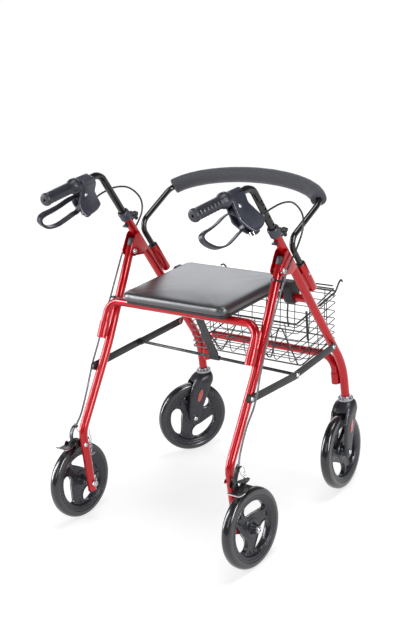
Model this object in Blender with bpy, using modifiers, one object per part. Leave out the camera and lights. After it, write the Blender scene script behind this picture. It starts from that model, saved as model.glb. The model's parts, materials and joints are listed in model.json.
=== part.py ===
"""Rollator walker: a folding four-wheel walking frame, as separate parts.

Metres, +Z up, +Y is the way it is pushed, the floor is z = 0 and x = 0 is the
plane of symmetry.  Parts ending in _r are on +X, parts ending in _l on -X.
"""
import math

import bpy
import bmesh
from mathutils import Matrix, Vector

# ---------------------------------------------------------------- dimensions
GAP = 0.0003                # running gap between parts that touch
FRAME_X = 0.240             # centre plane of each side frame
LEG_R = 0.0111              # front and rear leg tubes, 22.2 mm
LEG_BORE = 0.0100           # bore of the front leg, takes the handle tube
CROSS_R = 0.0105            # cross tubes, 21 mm
HANDLE_R = 0.0094           # sliding handle tube
BACK_R = 0.0075             # backrest tube, 15 mm
PAD_R = 0.0203              # foam of the backrest
WHEEL_R = 0.100             # all four wheels, 200 mm
TYRE_W = 0.0130             # half width of a tyre
RIM_R = 0.0835              # seat of the tyre on the rim
REAR_X = 0.282              # centre plane of a rear wheel
REAR_Y = -0.240             # rear axle
# Degrees from forward (right wheels) or backward (left ones) to a window's wide end.
WINDOW_START = {"rear_rim_r": -10, "rear_rim_l": 27, "front_rim_r": 26, "front_rim_l": 33}
STEM_Y = 0.2504             # caster stem
TRAIL = 0.051               # caster trail
SWIVEL = {1: math.radians(7.7), -1: math.radians(-28.5)}
LEG_TOP = (0.0156, 0.758)   # y, z of the top of the front leg tube
LEG_DIR = (0.474, -0.8805)  # y, z down the straight part of the front leg
PIVOT = (0.0215, 0.6535)    # y, z of the fold hinge
REAR_DIR = (0.5170, 0.8560)  # y, z up the straight part of the rear leg
SEAT_Z = 0.5915             # top of the seat
HINGE_TUBE = (0.142, 0.538)  # y, z of the upper cross tube, the hinge of the seat
BRAKE_PIVOT = (-0.2490, 0.2140)  # y, z of the bolt of the rear brake arm
BRACE_R = (-0.1528, 0.392)  # rear bolt of the brace
BRACE_C = {1: (0.0308, 0.3820), -1: (0.0308, 0.3934)}  # middle hinge, right and left
BRACE_F = (0.1961, 0.3938)  # front bolt of the brace
STRAP_LOW = (0.0308, 0.3877)  # y, z of the strap's loop on the cross rod
ROLL = math.radians(21)     # outward lean of the brake levers
GRIP_X = 0.2325
LEVER_PIVOT = (-0.118, -0.0265)

RED = (0.55, 0.0, 0.012, 1)
BLACK = (0.012, 0.012, 0.014, 1)
CHAR = (0.05, 0.052, 0.06, 1)
STEEL = (0.6, 0.6, 0.62, 1)

for item in list(bpy.data.objects):
    bpy.data.objects.remove(item, do_unlink=True)

PARTS = bpy.data.collections.new("rollator_walker")
CUTS = bpy.data.collections.new("cutters")
for group in (PARTS, CUTS):
    bpy.context.scene.collection.children.link(group)


# ------------------------------------------------------------------- helpers
def material(name, colour, metallic, roughness):
    mat = bpy.data.materials.new(name)
    mat.use_nodes = True
    bsdf = mat.node_tree.nodes["Principled BSDF"]
    bsdf.inputs["Base Color"].default_value = colour
    bsdf.inputs["Metallic"].default_value = metallic
    bsdf.inputs["Roughness"].default_value = roughness
    return mat


def settle(obj, mat, helper=False, place=None):
    """Make a curve or a modified mesh one plain, welded mesh with its material."""
    name = obj.name
    bpy.context.view_layer.update()
    graph = bpy.context.evaluated_depsgraph_get()
    mesh = bpy.data.meshes.new_from_object(obj.evaluated_get(graph))
    drop(obj)
    bm = bmesh.new()
    bm.from_mesh(mesh)
    bmesh.ops.remove_doubles(bm, verts=bm.verts, dist=0.00001)
    bmesh.ops.dissolve_degenerate(bm, dist=0.000001, edges=bm.edges)
    if place is not None:
        bmesh.ops.transform(bm, matrix=place, verts=bm.verts)
    bmesh.ops.recalc_face_normals(bm, faces=bm.faces)
    bm.to_mesh(mesh)
    bm.free()
    mesh.materials.clear()
    made = bpy.data.objects.new(name, mesh)
    made.name = name
    (CUTS if helper else PARTS).objects.link(made)
    if helper:
        made.hide_render = True
        made.display_type = "WIRE"
    if mat is not None:
        mesh.materials.append(material(name, *mat))
    return made


def temporary(name, data):
    obj = bpy.data.objects.new(name, data)
    bpy.context.scene.collection.objects.link(obj)
    return obj


def drop(obj):
    bpy.data.objects.remove(obj, do_unlink=True)


def combine(obj, other, operation):
    """Apply one exact boolean and throw the second object away."""
    mod = obj.modifiers.new("cut", "BOOLEAN")
    mod.solver = "EXACT"
    mod.operation = operation
    mod.object = other
    bpy.context.view_layer.update()
    graph = bpy.context.evaluated_depsgraph_get()
    made = bpy.data.meshes.new_from_object(obj.evaluated_get(graph))
    obj.modifiers.clear()
    keep = obj.data.materials[0] if obj.data.materials else None
    obj.data = made
    obj.data.materials.clear()
    if keep is not None:
        obj.data.materials.append(keep)
    drop(other)
    return obj


def fillet(points, radii, steps=6):
    """Round the inner corners of a polyline."""
    out = [Vector(points[0])]
    for i in range(1, len(points) - 1):
        here, r = Vector(points[i]), radii[i - 1]
        a = (Vector(points[i - 1]) - here).normalized()
        b = (Vector(points[i + 1]) - here).normalized()
        half = a.angle(b) / 2
        if r <= 0 or half > math.pi / 2 - 0.01:
            out.append(here)
            continue
        reach = r / math.tan(half)
        centre = here + (a + b).normalized() * (r / math.sin(half))
        p, q = here + a * reach - centre, here + b * reach - centre
        turn = math.pi - 2 * half
        for k in range(steps + 1):
            w = turn * k / steps
            out.append(centre + (p * math.sin(turn - w) + q * math.sin(w)) / math.sin(turn))
    out.append(Vector(points[-1]))
    return out


def wire(name, path, radius, sides):
    """A round-bevelled curve through the points, not yet a mesh."""
    curve = bpy.data.curves.new(name, "CURVE")
    curve.dimensions = "3D"
    curve.bevel_depth = radius
    curve.bevel_resolution = sides // 2 - 2
    curve.use_fill_caps = True
    spline = curve.splines.new("POLY")
    spline.points.add(len(path) - 1)
    for point, at in zip(spline.points, path):
        point.co = (*at, 1)
    return temporary(name, curve)


def tube(name, path, radius, mat, sides=16, bore=0.0, bore_from=0, helper=False):
    """Round bar along a path.  bore > 0 opens it from its last point back to bore_from."""
    made = settle(wire(name, path, radius, sides), mat, helper)
    if bore > 0:
        inner = [Vector(p) for p in path[bore_from:]]
        inner.append(inner[-1] + (inner[-1] - inner[-2]).normalized() * 0.01)
        if bore_from == 0:
            inner.insert(0, inner[0] + (inner[0] - inner[1]).normalized() * 0.01)
        hollow = settle(wire("bore", inner, bore, sides), None, helper=True)
        combine(made, hollow, "DIFFERENCE")
    return made


def turned(name, profile, origin, axis, mat, sides=32, loop=False, helper=False):
    """Solid of revolution from (distance along axis, radius) pairs, by a Screw."""
    points = [(radius, 0, height) for height, radius in profile]
    if not loop:
        points = [(0, 0, profile[0][0])] + points + [(0, 0, profile[-1][0])]
    edges = [(k, k + 1) for k in range(len(points) - 1)]
    if loop:
        edges.append((len(points) - 1, 0))
    mesh = bpy.data.meshes.new(name)
    mesh.from_pydata(points, edges, [])
    obj = temporary(name, mesh)
    spin = obj.modifiers.new("spin", "SCREW")
    spin.steps = sides
    spin.render_steps = sides
    spin.use_merge_vertices = True
    spin.merge_threshold = 0.00001
    axis = Vector(axis).normalized()
    side = axis.orthogonal().normalized()
    place = Matrix((side, axis.cross(side), axis)).transposed().to_4x4()
    place.translation = Vector(origin)
    return settle(obj, mat, helper, place)


def sheet(name, outline, thick, mat, helper, place):
    """A filled 2D curve extruded by its thickness."""
    curve = bpy.data.curves.new(name, "CURVE")
    curve.dimensions = "2D"
    curve.fill_mode = "BOTH"
    curve.extrude = thick / 2
    spline = curve.splines.new("POLY")
    spline.points.add(len(outline) - 1)
    for point, at in zip(spline.points, outline):
        point.co = (*at, 0, 1)
    spline.use_cyclic_u = True
    return settle(temporary(name, curve), mat, helper, place)


def plate(name, outline, lo, hi, mat, place=None, helper=False):
    """Outline in the y-z plane, thickened from x = lo to x = hi."""
    upright = Matrix(((0, 0, 1, (lo + hi) / 2), (1, 0, 0, 0), (0, 1, 0, 0), (0, 0, 0, 1)))
    place = place or Matrix.Identity(4)
    return sheet(name, outline, abs(hi - lo), mat, helper, place @ upright)


def slab(name, outline, lo, hi, mat):
    """Outline in the x-y plane, thickened from z = lo to z = hi."""
    return sheet(name, outline, hi - lo, mat, False, Matrix.Translation((0, 0, (lo + hi) / 2)))


def block(name, lo, hi, mat, helper=False):
    size = Matrix.Diagonal([abs(b - a) for a, b in zip(lo, hi)] + [1])
    middle = Matrix.Translation([(a + b) / 2 for a, b in zip(lo, hi)])
    mesh = bpy.data.meshes.new(name)
    bm = bmesh.new()
    bmesh.ops.create_cube(bm, size=1, matrix=middle @ size)
    bm.to_mesh(mesh)
    bm.free()
    return settle(temporary(name, mesh), mat, helper)


def arc(cy, cz, radius, start, end, steps):
    return [(cy + radius * math.cos(math.radians(start + (end - start) * k / steps)),
             cz + radius * math.sin(math.radians(start + (end - start) * k / steps)))
            for k in range(steps + 1)]


def bevel(obj, width, segments=2, angle=40):
    mod = obj.modifiers.new("round", "BEVEL")
    mod.width = width
    mod.segments = segments
    mod.limit_method = "ANGLE"
    mod.angle_limit = math.radians(angle)
    mod.use_clamp_overlap = True
    bpy.context.view_layer.update()
    graph = bpy.context.evaluated_depsgraph_get()
    made = bpy.data.meshes.new_from_object(obj.evaluated_get(graph))
    obj.modifiers.clear()
    obj.data = made
    return obj


def other_side(obj, name):
    """A mirrored copy of a part on the other side of x = 0."""
    mesh = obj.data.copy()
    mesh.name = name
    mesh.materials.clear()
    look = obj.data.materials[0].copy()
    look.name = name
    mesh.materials.append(look)
    bm = bmesh.new()
    bm.from_mesh(mesh)
    for v in bm.verts:
        v.co.x = -v.co.x
    bmesh.ops.reverse_faces(bm, faces=bm.faces)
    bm.to_mesh(mesh)
    bm.free()
    twin = bpy.data.objects.new(name, mesh)
    PARTS.objects.link(twin)
    return twin


def pair(obj):
    other_side(obj, obj.name[:-2] + "_l")


def yz(x, points):
    return [Vector((x, y, z)) for y, z in points]


def move(point, direction, distance):
    return (point[0] + direction[0] * distance, point[1] + direction[1] * distance)


def grip_z(y):
    return 0.8745 + 0.08 * (y + 0.0955)


# --------------------------------------------------------------- side frames
def side_frames():
    # Front leg: straight, then a bend to upright above the caster; open at the top.
    corner = (STEM_Y, LEG_TOP[1] + LEG_DIR[1] * (STEM_Y - LEG_TOP[0]) / LEG_DIR[0])
    bore_end = move(LEG_TOP, LEG_DIR, 0.275)
    path = fillet(yz(FRAME_X, [(STEM_Y, 0.2365), corner, bore_end, LEG_TOP]), [0.18, 0], 8)
    leg = tube("front_leg_r", path, LEG_R, (RED, 0.3, 0.25), 16, LEG_BORE, len(path) - 2)
    pair(leg)

    # Rear leg: from the fold hinge down to the knee, then upright to the axle.
    top = move(PIVOT, REAR_DIR, 0.016)
    path = fillet(yz(FRAME_X, [top, (-0.108, 0.436), (-0.2425, 0.2470), (REAR_Y, 0.077)]),
                  [0.5, 0.060], 6)
    leg = tube("rear_leg_r", path, LEG_R, (RED, 0.3, 0.25), 16)
    for y, z, r in ((PIVOT[0], PIVOT[1], 0.0042), (REAR_Y, WHEEL_R, 0.0048)):
        hole = turned("hole", [(-0.05, r), (0.05, r)], (FRAME_X, y, z), (1, 0, 0), None, 20,
                      helper=True)
        combine(leg, hole, "DIFFERENCE")
    pair(leg)

    # Plastic cap on the top of the rear leg.
    low, high = move(PIVOT, REAR_DIR, 0.016 + GAP), move(PIVOT, REAR_DIR, 0.033)
    cap = turned("leg_cap_r", [(0, 0.0111), (0.013, 0.0111), (0.0165, 0.0085)],
                 (FRAME_X, low[0], low[1]), (0, REAR_DIR[0], REAR_DIR[1]), (CHAR, 0, 0.5), 20)
    pair(cap)

    # Hinge bracket: two cheeks beside both tubes, joined by a web behind the front leg.
    axis_a, axis_b = move(LEG_TOP, LEG_DIR, 0.064), move(LEG_TOP, LEG_DIR, 0.126)
    rear = (-0.8805, -0.474)
    outline = [axis_a, move(axis_a, rear, 0.0125)]
    outline += arc(PIVOT[0], PIVOT[1], 0.0135, 158, 288, 8)
    outline += [move(axis_b, rear, 0.0245), axis_b]
    web_a, web_b = move(LEG_TOP, LEG_DIR, 0.098), move(LEG_TOP, LEG_DIR, 0.1245)
    web = [move(web_a, rear, LEG_R + GAP), move(web_b, rear, LEG_R + GAP),
           move(web_b, rear, 0.0140), move(web_a, rear, 0.0140)]
    inner = plate("hinge_bracket_r", outline, FRAME_X - 0.0162, FRAME_X - 0.0137,
                  (RED, 0.3, 0.25))
    outer = plate("cheek", outline, FRAME_X + 0.0137, FRAME_X + 0.0162, None, helper=True)
    bridge = plate("web", web, FRAME_X - 0.0150, FRAME_X + 0.0150, None, helper=True)
    combine(combine(inner, bridge, "UNION"), outer, "UNION")
    hole = turned("hole", [(-0.05, 0.0042), (0.05, 0.0042)], (FRAME_X, *PIVOT), (1, 0, 0),
                  None, 20, helper=True)
    pair(combine(inner, hole, "DIFFERENCE"))

    # Fold bolt with a head on each side.
    bolt = turned("fold_bolt_r", [(-0.0205, 0.0040), (-0.0200, 0.0062), (-0.0165, 0.0070),
                                  (-0.0165, 0.0038), (0.0165, 0.0038), (0.0165, 0.0070),
                                  (0.0200, 0.0062), (0.0205, 0.0040)],
                  (FRAME_X, *PIVOT), (1, 0, 0), (STEEL, 1, 0.25), 12)
    pair(bolt)

    # Plastic collar on the mouth of the front leg, split by the tube's end.
    down = (0, LEG_DIR[0], LEG_DIR[1])
    collar = turned("leg_collar_r",
                    [(-0.0045, 0.0108), (-0.0045, 0.0140), (0.000, 0.0152), (0.016, 0.0152),
                     (0.021, 0.0142), (0.021, LEG_R + GAP), (-GAP, LEG_R + GAP),
                     (-GAP, 0.0108)],
                    (FRAME_X, *LEG_TOP), down, (CHAR, 0, 0.45), 16, loop=True)
    pair(collar)

    # Three-wing clamp knob in front of each front leg.
    forward = (0.8805, 0.474)
    seat = move(move(LEG_TOP, LEG_DIR, 0.034), forward, LEG_R + 0.0006)
    knob = turned("height_knob_r", [(0, 0.0050), (0.009, 0.0060), (0.009, 0.0085),
                                    (0.021, 0.0085), (0.024, 0.0060)],
                  (FRAME_X, *seat), (0, *forward), (BLACK, 0, 0.4), 12)
    side = Vector((1, 0, 0))
    up = Vector((0, *forward)).cross(side)
    for k in range(3):
        turn = math.radians(90 + 120 * k)
        out = side * math.cos(turn) + up * math.sin(turn)
        start = Vector((FRAME_X, *seat)) + Vector((0, *forward)) * 0.0155
        wing = tube("wing", [start + out * 0.002, start + out * 0.016], 0.0048, None, 10,
                    helper=True)
        combine(knob, wing, "UNION")
    pair(knob)


def cross_tubes():
    # Rear inverted U under the back of the seat, carried behind the rear legs.
    corners = [(FRAME_X, -0.1275, 0.4640), (FRAME_X, -0.0775, 0.5495),
               (-FRAME_X, -0.0775, 0.5495), (-FRAME_X, -0.1275, 0.4640)]
    rear = tube("seat_tube", fillet(corners, [0.034, 0.034], 6), CROSS_R, (RED, 0.3, 0.25), 16)
    for s in (1, -1):
        spot = (-0.1275 + 0.52 * 0.020, 0.4640 + 0.854 * 0.020)
        out, along = (0.856, -0.517), (0.517, 0.856)
        tab = [move(move(spot, along, -0.013), out, 0.004),
               move(move(spot, along, -0.013), out, 0.0194),
               move(move(spot, along, 0.013), out, 0.0194),
               move(move(spot, along, 0.013), out, 0.004)]
        weld = plate("tab", tab, s * FRAME_X - 0.003, s * FRAME_X + 0.003, None, helper=True)
        combine(rear, weld, "UNION")

    # Lower front inverted U between the front legs: the shelf the basket stands on.
    x, y = 0.2165, 0.2475
    corners = [(x, y, 0.268), (x, y, 0.346), (-x, y, 0.346), (-x, y, 0.268)]
    low = tube("basket_tube", fillet(corners, [0.040, 0.040], 6), CROSS_R, (RED, 0.3, 0.25), 16)
    for s in (1, -1):
        ends = sorted((s * (x + 0.0060), s * (FRAME_X - LEG_R - 0.0004)))
        weld = block("tab", (ends[0], y - 0.003, 0.270), (ends[1], y + 0.003, 0.282), None,
                     helper=True)
        combine(low, weld, "UNION")

    # Upper cross tube between the front legs, under the front edge of the seat.
    half = FRAME_X - LEG_R - GAP
    tube("hinge_tube", [Vector((-half, *HINGE_TUBE)), Vector((half, *HINGE_TUBE))], CROSS_R,
         (RED, 0.3, 0.25), 16)


# ------------------------------------------------------------------ backrest
SOCKET_TOP = (0.1100, 0.6416)


def backrest():
    low = move(SOCKET_TOP, LEG_DIR, 0.090)
    socket = tube("backrest_socket_r", yz(FRAME_X, [low, move(SOCKET_TOP, LEG_DIR, 0.080),
                                                    SOCKET_TOP]),
                  0.0122, (RED, 0.3, 0.25), 20, BACK_R + 0.0008, 1)
    rear = (-0.8805, -0.474)
    tab = [move(move(SOCKET_TOP, LEG_DIR, 0.020), rear, 0.0100),
           move(move(SOCKET_TOP, LEG_DIR, 0.074), rear, 0.0100),
           move(move(SOCKET_TOP, LEG_DIR, 0.074), rear, 0.0164),
           move(move(SOCKET_TOP, LEG_DIR, 0.020), rear, 0.0164)]
    weld = plate("tab", tab, FRAME_X - 0.004, FRAME_X + 0.004, None, helper=True)
    pair(combine(socket, weld, "UNION"))

    # The tube rises from both sockets, turns forward and closes in half an ellipse.
    def bow(degrees):
        w = math.radians(degrees)
        return (0.2425 * math.sin(w), 0.1950 + 0.0855 * math.cos(w),
                0.7635 + 0.0395 * math.cos(w))

    inside = move(SOCKET_TOP, LEG_DIR, 0.076)
    half = [(FRAME_X, *inside), (FRAME_X, 0.0737, 0.7090), bow(90)]
    middle = [bow(w) for w in (78, 66, 53, 40, 26, 13, 0, -13, -26, -40, -53, -66, -78)]
    corners = half + middle + [(-x, y, z) for x, y, z in reversed(half)]
    path = fillet(corners, [0.029] + [0] * 15 + [0.029], 6)
    tube("backrest_tube", path, BACK_R, (BLACK, 0, 0.2), 12)

    # Foam over the bow.
    path = [Vector(bow(w)) for w in (76, 66, 53, 40, 26, 13, 0, -13, -26, -40, -53, -66, -76)]
    tube("backrest_pad", path, PAD_R, (CHAR, 0, 0.8), 18, BACK_R + 0.0010)


# ------------------------------------------------------- handles and levers
def handles():
    corner = (FRAME_X, *move(LEG_TOP, LEG_DIR, -0.1365))
    end = Vector((GRIP_X, -0.250, grip_z(-0.250) + 0.004))
    path = fillet([(FRAME_X, *move(LEG_TOP, LEG_DIR, 0.200)), corner, end], [0.036], 7)
    tube("handle_tube_r", path, HANDLE_R, (BLACK, 0, 0.25), 16)
    pair(bpy.data.objects["handle_tube_r"])

    along = (end - path[-2]).normalized()
    bore = HANDLE_R + 0.0004
    grip = turned("grip_r",
                  [(0.0045, 0.0035), (0.0045, 0.0120), (0.0025, 0.0150), (-0.002, 0.0160),
                   (-0.058, 0.0150), (-0.088, 0.0158), (-0.094, 0.0180), (-0.100, 0.0196),
                   (-0.109, 0.0196), (-0.114, 0.0180), (-0.114, bore), (0.0006, bore),
                   (0.0006, 0.0035)],
                  end, along, (CHAR, 0, 0.6), 16, loop=True)
    pair(grip)

    # Brake housing and lever lie in a plane that leans outward about the grip.
    def lean(y):
        return Matrix.Translation((GRIP_X + 0.001, 0, grip_z(y))) @ Matrix.Rotation(-ROLL, 4, "Y")

    place = lean(-0.118)
    outline = [(-0.1345, 0.0135), (-0.092, 0.0150), (-0.082, -0.004), (-0.084, -0.026),
               (-0.051, -0.074), (-0.060, -0.087), (-0.075, -0.093), (-0.097, -0.096),
               (-0.115, -0.081), (-0.1345, -0.056), (-0.1345, -0.013)]
    house = plate("brake_housing_r", outline, -0.0145, 0.0145, (CHAR, 0, 0.5), place)
    bevel(house, 0.003, 1)
    hole = tube("hole", path[-3:-1] + [end + along * 0.02], HANDLE_R + 0.0004, None, 16,
                helper=True)
    combine(house, hole, "DIFFERENCE")
    slot = plate("slot", [(-0.136, -0.0130), (-0.106, -0.0130), (-0.098, -0.026),
                          (-0.072, -0.066), (-0.072, -0.12), (-0.20, -0.12), (-0.20, -0.0130)],
                 -0.0088, 0.0088, None, place, helper=True)
    combine(house, slot, "DIFFERENCE")
    pin = place @ Vector((0, *LEVER_PIVOT))
    across = (place.to_3x3() @ Vector((1, 0, 0))).normalized()
    screw = turned("screw", [(-0.0165, 0.0045), (-0.012, 0.0050), (-0.012, 0.0030),
                             (0.012, 0.0030), (0.012, 0.0050), (0.0165, 0.0045)],
                   pin, across, None, 16, helper=True)
    combine(house, screw, "UNION")
    pair(house)

    # Loop lever: a closed band with a lug that turns on the pin.
    outer = [(-0.130, -0.0260), (-0.169, -0.0290), (-0.197, -0.0380), (-0.243, -0.0447),
             (-0.264, -0.0480), (-0.270, -0.0570), (-0.266, -0.0690), (-0.249, -0.0838),
             (-0.230, -0.0929), (-0.194, -0.1000), (-0.160, -0.0925), (-0.122, -0.0840)]
    inner = [(-0.160, -0.0385), (-0.195, -0.0470), (-0.240, -0.0520), (-0.246, -0.0580),
             (-0.240, -0.0680), (-0.215, -0.0850), (-0.190, -0.0920), (-0.160, -0.0840),
             (-0.1360, -0.0775), (-0.1400, -0.0590)]
    lever = plate("brake_lever_r", outer, -0.0078, 0.0078, (CHAR, 0, 0.5), place)
    bevel(lever, 0.002, 1)
    window = plate("window", inner, -0.02, 0.02, None, place, helper=True)
    combine(lever, window, "DIFFERENCE")
    lug = arc(LEVER_PIVOT[0], LEVER_PIVOT[1], 0.0085, 90, -60, 8)
    lug += [(-0.128, -0.050), (-0.140, -0.0300)]
    eye = plate("lug", lug, -0.0052, 0.0052, None, place, helper=True)
    combine(lever, eye, "UNION")
    bore_pin = turned("hole", [(-0.02, 0.0034), (0.02, 0.0034)], pin, across, None, 20,
                      helper=True)
    combine(lever, bore_pin, "DIFFERENCE")
    pair(lever)


def cables():
    points = [(0.2665, -0.0535, 0.8120), (0.2670, -0.020, 0.8190), (0.2670, 0.030, 0.8200),
              (0.2640, 0.075, 0.8060), (0.2610, 0.108, 0.7700), (0.2600, 0.106, 0.7330),
              (0.2620, 0.075, 0.6980), (0.2640, 0.040, 0.6700), (0.2645, 0.0225, 0.6548)]
    tube("brake_cable_upper_r", smooth(points, 20), 0.0024, (BLACK, 0, 0.4), 6)
    pair(bpy.data.objects["brake_cable_upper_r"])
    points = [(0.2645, 0.0205, 0.6515), (0.2640, 0.0050, 0.6300), (0.2620, -0.037, 0.5700),
              (0.2620, -0.083, 0.5000), (0.2640, -0.1200, 0.4400), (0.2668, -0.1425, 0.4020),
              (0.2662, -0.1600, 0.3730), (0.2610, -0.1880, 0.3330), (0.2605, -0.2185, 0.2850),
              (0.2655, -0.2370, 0.2590)]
    tube("brake_cable_lower_r", smooth(points, 20), 0.0024, (BLACK, 0, 0.4), 6)
    pair(bpy.data.objects["brake_cable_lower_r"])


def smooth(points, count):
    """Catmull-Rom curve through the points."""
    pts = [Vector(p) for p in points]
    pts = [pts[0] * 2 - pts[1]] + pts + [pts[-1] * 2 - pts[-2]]
    spans = len(pts) - 3
    out = []
    for k in range(count + 1):
        u = spans * k / count
        i = min(int(u), spans - 1)
        t = u - i
        a, b, c, d = pts[i:i + 4]
        out.append(0.5 * (2 * b + (c - a) * t + (2 * a - 5 * b + 4 * c - d) * t * t
                          + (3 * b - a - 3 * c + d) * t ** 3))
    return out


# -------------------------------------------------------------------- wheels
def rim(name, centre, axis, half_hub, hand):
    """Rim, disc with three teardrop windows, and hub.  hand is 1 or -1: the way they sweep."""
    inner = 0.0695
    profile = [(-half_hub, 0.0053), (-half_hub, 0.0140), (-half_hub + 0.004, 0.0170),
               (-0.0050, 0.0200), (-0.0045, inner - 0.004), (-0.0100, inner),
               (-0.0115, 0.0780), (-0.0115, RIM_R), (0.0115, RIM_R), (0.0115, 0.0780),
               (0.0100, inner), (0.0045, inner - 0.004), (0.0050, 0.0200),
               (half_hub - 0.004, 0.0170), (half_hub, 0.0140), (half_hub, 0.0053)]
    wheel = turned(name, profile, centre, axis, (CHAR, 0, 0.45), 32, loop=True)
    axis = Vector(axis).normalized()
    up = Vector((0, 0, 1))
    ahead = up.cross(axis).normalized() * hand
    place = Matrix((axis, ahead, up)).transposed().to_4x4()
    place.translation = Vector(centre)
    # Sweep from the wide end and radius of each point of a window.
    window = [(-7, 0.0420), (-3, 0.0580), (8, 0.0640), (28, 0.0650), (50, 0.0650),
              (70, 0.0640), (81, 0.0600), (79, 0.0510), (68, 0.0400), (50, 0.0320),
              (30, 0.0285), (8, 0.0290)]
    for k in range(3):
        shape = []
        for sweep, radius in window:
            w = math.radians(WINDOW_START[name] - sweep + 120 * k)
            shape.append((radius * math.cos(w), radius * math.sin(w)))
        hole = plate("window", shape, -0.02, 0.02, None, place, helper=True)
        combine(wheel, hole, "DIFFERENCE")
    return wheel


def tyre(name, centre, axis):
    r, w = RIM_R + GAP, TYRE_W
    profile = [(-w, r), (-w, 0.0920), (-w + 0.0035, 0.0975),
               (-0.0050, WHEEL_R), (0.0050, WHEEL_R), (w - 0.0035, 0.0975), (w, 0.0920),
               (w, r)]
    return turned(name, profile, centre, axis, (BLACK, 0, 0.3), 32, loop=True)


def rear_wheels():
    for s, tag in ((1, "_r"), (-1, "_l")):
        centre = (s * REAR_X, REAR_Y, WHEEL_R)
        rim("rear_rim" + tag, centre, (1, 0, 0), 0.0245, s)
        tyre("rear_tyre" + tag, centre, (1, 0, 0))
    bolt = turned("rear_axle_r", [(0.2235, 0.0040), (0.2235, 0.0075), (0.2283, 0.0075),
                                  (0.2283, 0.0044), (0.3070, 0.0044), (0.3070, 0.0088),
                                  (0.3095, 0.0075), (0.3095, 0.0030)],
                  (0, REAR_Y, WHEEL_R), (1, 0, 0), (STEEL, 1, 0.3), 12)
    pair(bolt)

    # Brake arm on the rear leg, with a flared shoe plate over the back of the tyre.
    web = [(-0.2660, 0.2040), (-0.2360, 0.2065), (-0.2300, 0.2140), (-0.2400, 0.2235),
           (-0.2560, 0.2225), (-0.2700, 0.2130)]
    arm = plate("brake_arm_r", web, 0.2670, 0.2700, (BLACK, 0, 0.4))
    shoe = [(-0.2920, 0.2100), (-0.2860, 0.2052), (-0.2750, 0.2026), (-0.2600, 0.2024),
            (-0.2450, 0.2046), (-0.2320, 0.2070), (-0.2320, 0.2107), (-0.2450, 0.2084),
            (-0.2600, 0.2062), (-0.2750, 0.2064), (-0.2860, 0.2090), (-0.2910, 0.2132)]
    tread = plate("tread", shoe, 0.2680, 0.2962, None, helper=True)
    combine(arm, tread, "UNION")
    lug = turned("lug", [(0.2516, 0.0080), (0.2720, 0.0080)], (0, *BRAKE_PIVOT), (1, 0, 0), None,
                 14, helper=True)
    combine(arm, lug, "UNION")
    prong = plate("prong", [(-0.2480, 0.2070), (-0.2120, 0.2040), (-0.2040, 0.2070),
                            (-0.2040, 0.2120), (-0.2440, 0.2200)], 0.2560, 0.2680, None,
                  helper=True)
    combine(arm, prong, "UNION")
    pair(arm)


def casters():
    for s, tag in ((1, "_r"), (-1, "_l")):
        turn = SWIVEL[s]
        trail = Vector((math.sin(turn), -math.cos(turn), 0))
        across = Vector((math.cos(turn), math.sin(turn), 0))
        stem = Vector((s * FRAME_X, STEM_Y, 0))
        hub = stem + trail * TRAIL + Vector((0, 0, WHEEL_R))
        rim("front_rim" + tag, hub, across, 0.0178, s)
        tyre("front_tyre" + tag, hub, across)

        # Fork in its own plane: local x across, local y opposite to the trail.
        place = Matrix((across, -trail, Vector((0, 0, 1)))).transposed().to_4x4()
        place.translation = stem
        outline = [(-0.020, 0.2235), (0.016, 0.2235), (0.0215, 0.2180), (0.0215, 0.2040),
                   (0.0150, 0.1900), (0.0020, 0.1720), (-0.0180, 0.1330)]
        outline += [(y, z) for y, z in arc(-TRAIL, WHEEL_R, 0.0155, 18, -140, 8)]
        outline += [(-0.0640, 0.1330), (-0.0560, 0.1750), (-0.0400, 0.2080)]
        fork = plate("caster_fork" + tag, outline, -0.0255, 0.0255, (CHAR, 0, 0.45), place)
        bevel(fork, 0.003, 1)
        head = [(-0.0330, 0.2160), (-0.0240, 0.2225), (0.0120, 0.2225), (0.0180, 0.2180),
                (0.0180, 0.2020), (0.0080, 0.1880), (-0.0460, 0.1880), (-0.0430, 0.2000)]
        shoulders = plate("shoulders", head, -0.0285, 0.0285, None, place, helper=True)
        bevel(shoulders, 0.004, 1)
        combine(fork, shoulders, "UNION")
        gap_disc = turned("gap", [(-0.0186, 0.1055), (0.0186, 0.1055)], hub, across, None, 48,
                          helper=True)
        combine(fork, gap_disc, "DIFFERENCE")
        hole = turned("hole", [(-0.05, 0.0048), (0.05, 0.0048)], hub, across, None, 20,
                      helper=True)
        combine(fork, hole, "DIFFERENCE")

        turned("caster_axle" + tag, [(-0.0290, 0.0040), (-0.0285, 0.0065), (-0.0258, 0.0070),
                                     (-0.0258, 0.0044), (0.0258, 0.0044), (0.0258, 0.0070),
                                     (0.0285, 0.0065), (0.0290, 0.0040)],
               hub, across, (STEEL, 1, 0.3), 12)
        turned("stem_ring" + tag, [(0.2238, 0.0190), (0.2248, 0.0202), (0.2300, 0.0202),
                                   (0.2312, 0.0160), (0.2362, 0.0150)],
               stem, (0, 0, 1), (STEEL, 1, 0.3), 16)


# --------------------------------------------------------------------- brace
def bar(name, a, b, lo, hi, half, mat):
    """Flat bar with round ends between two bolts, in the y-z plane."""
    way = math.degrees(math.atan2(b[1] - a[1], b[0] - a[0]))
    outline = arc(b[0], b[1], half, way - 90, way + 90, 8)
    outline += arc(a[0], a[1], half, way + 90, way + 270, 8)
    return plate(name, outline, lo, hi, mat)


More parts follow.
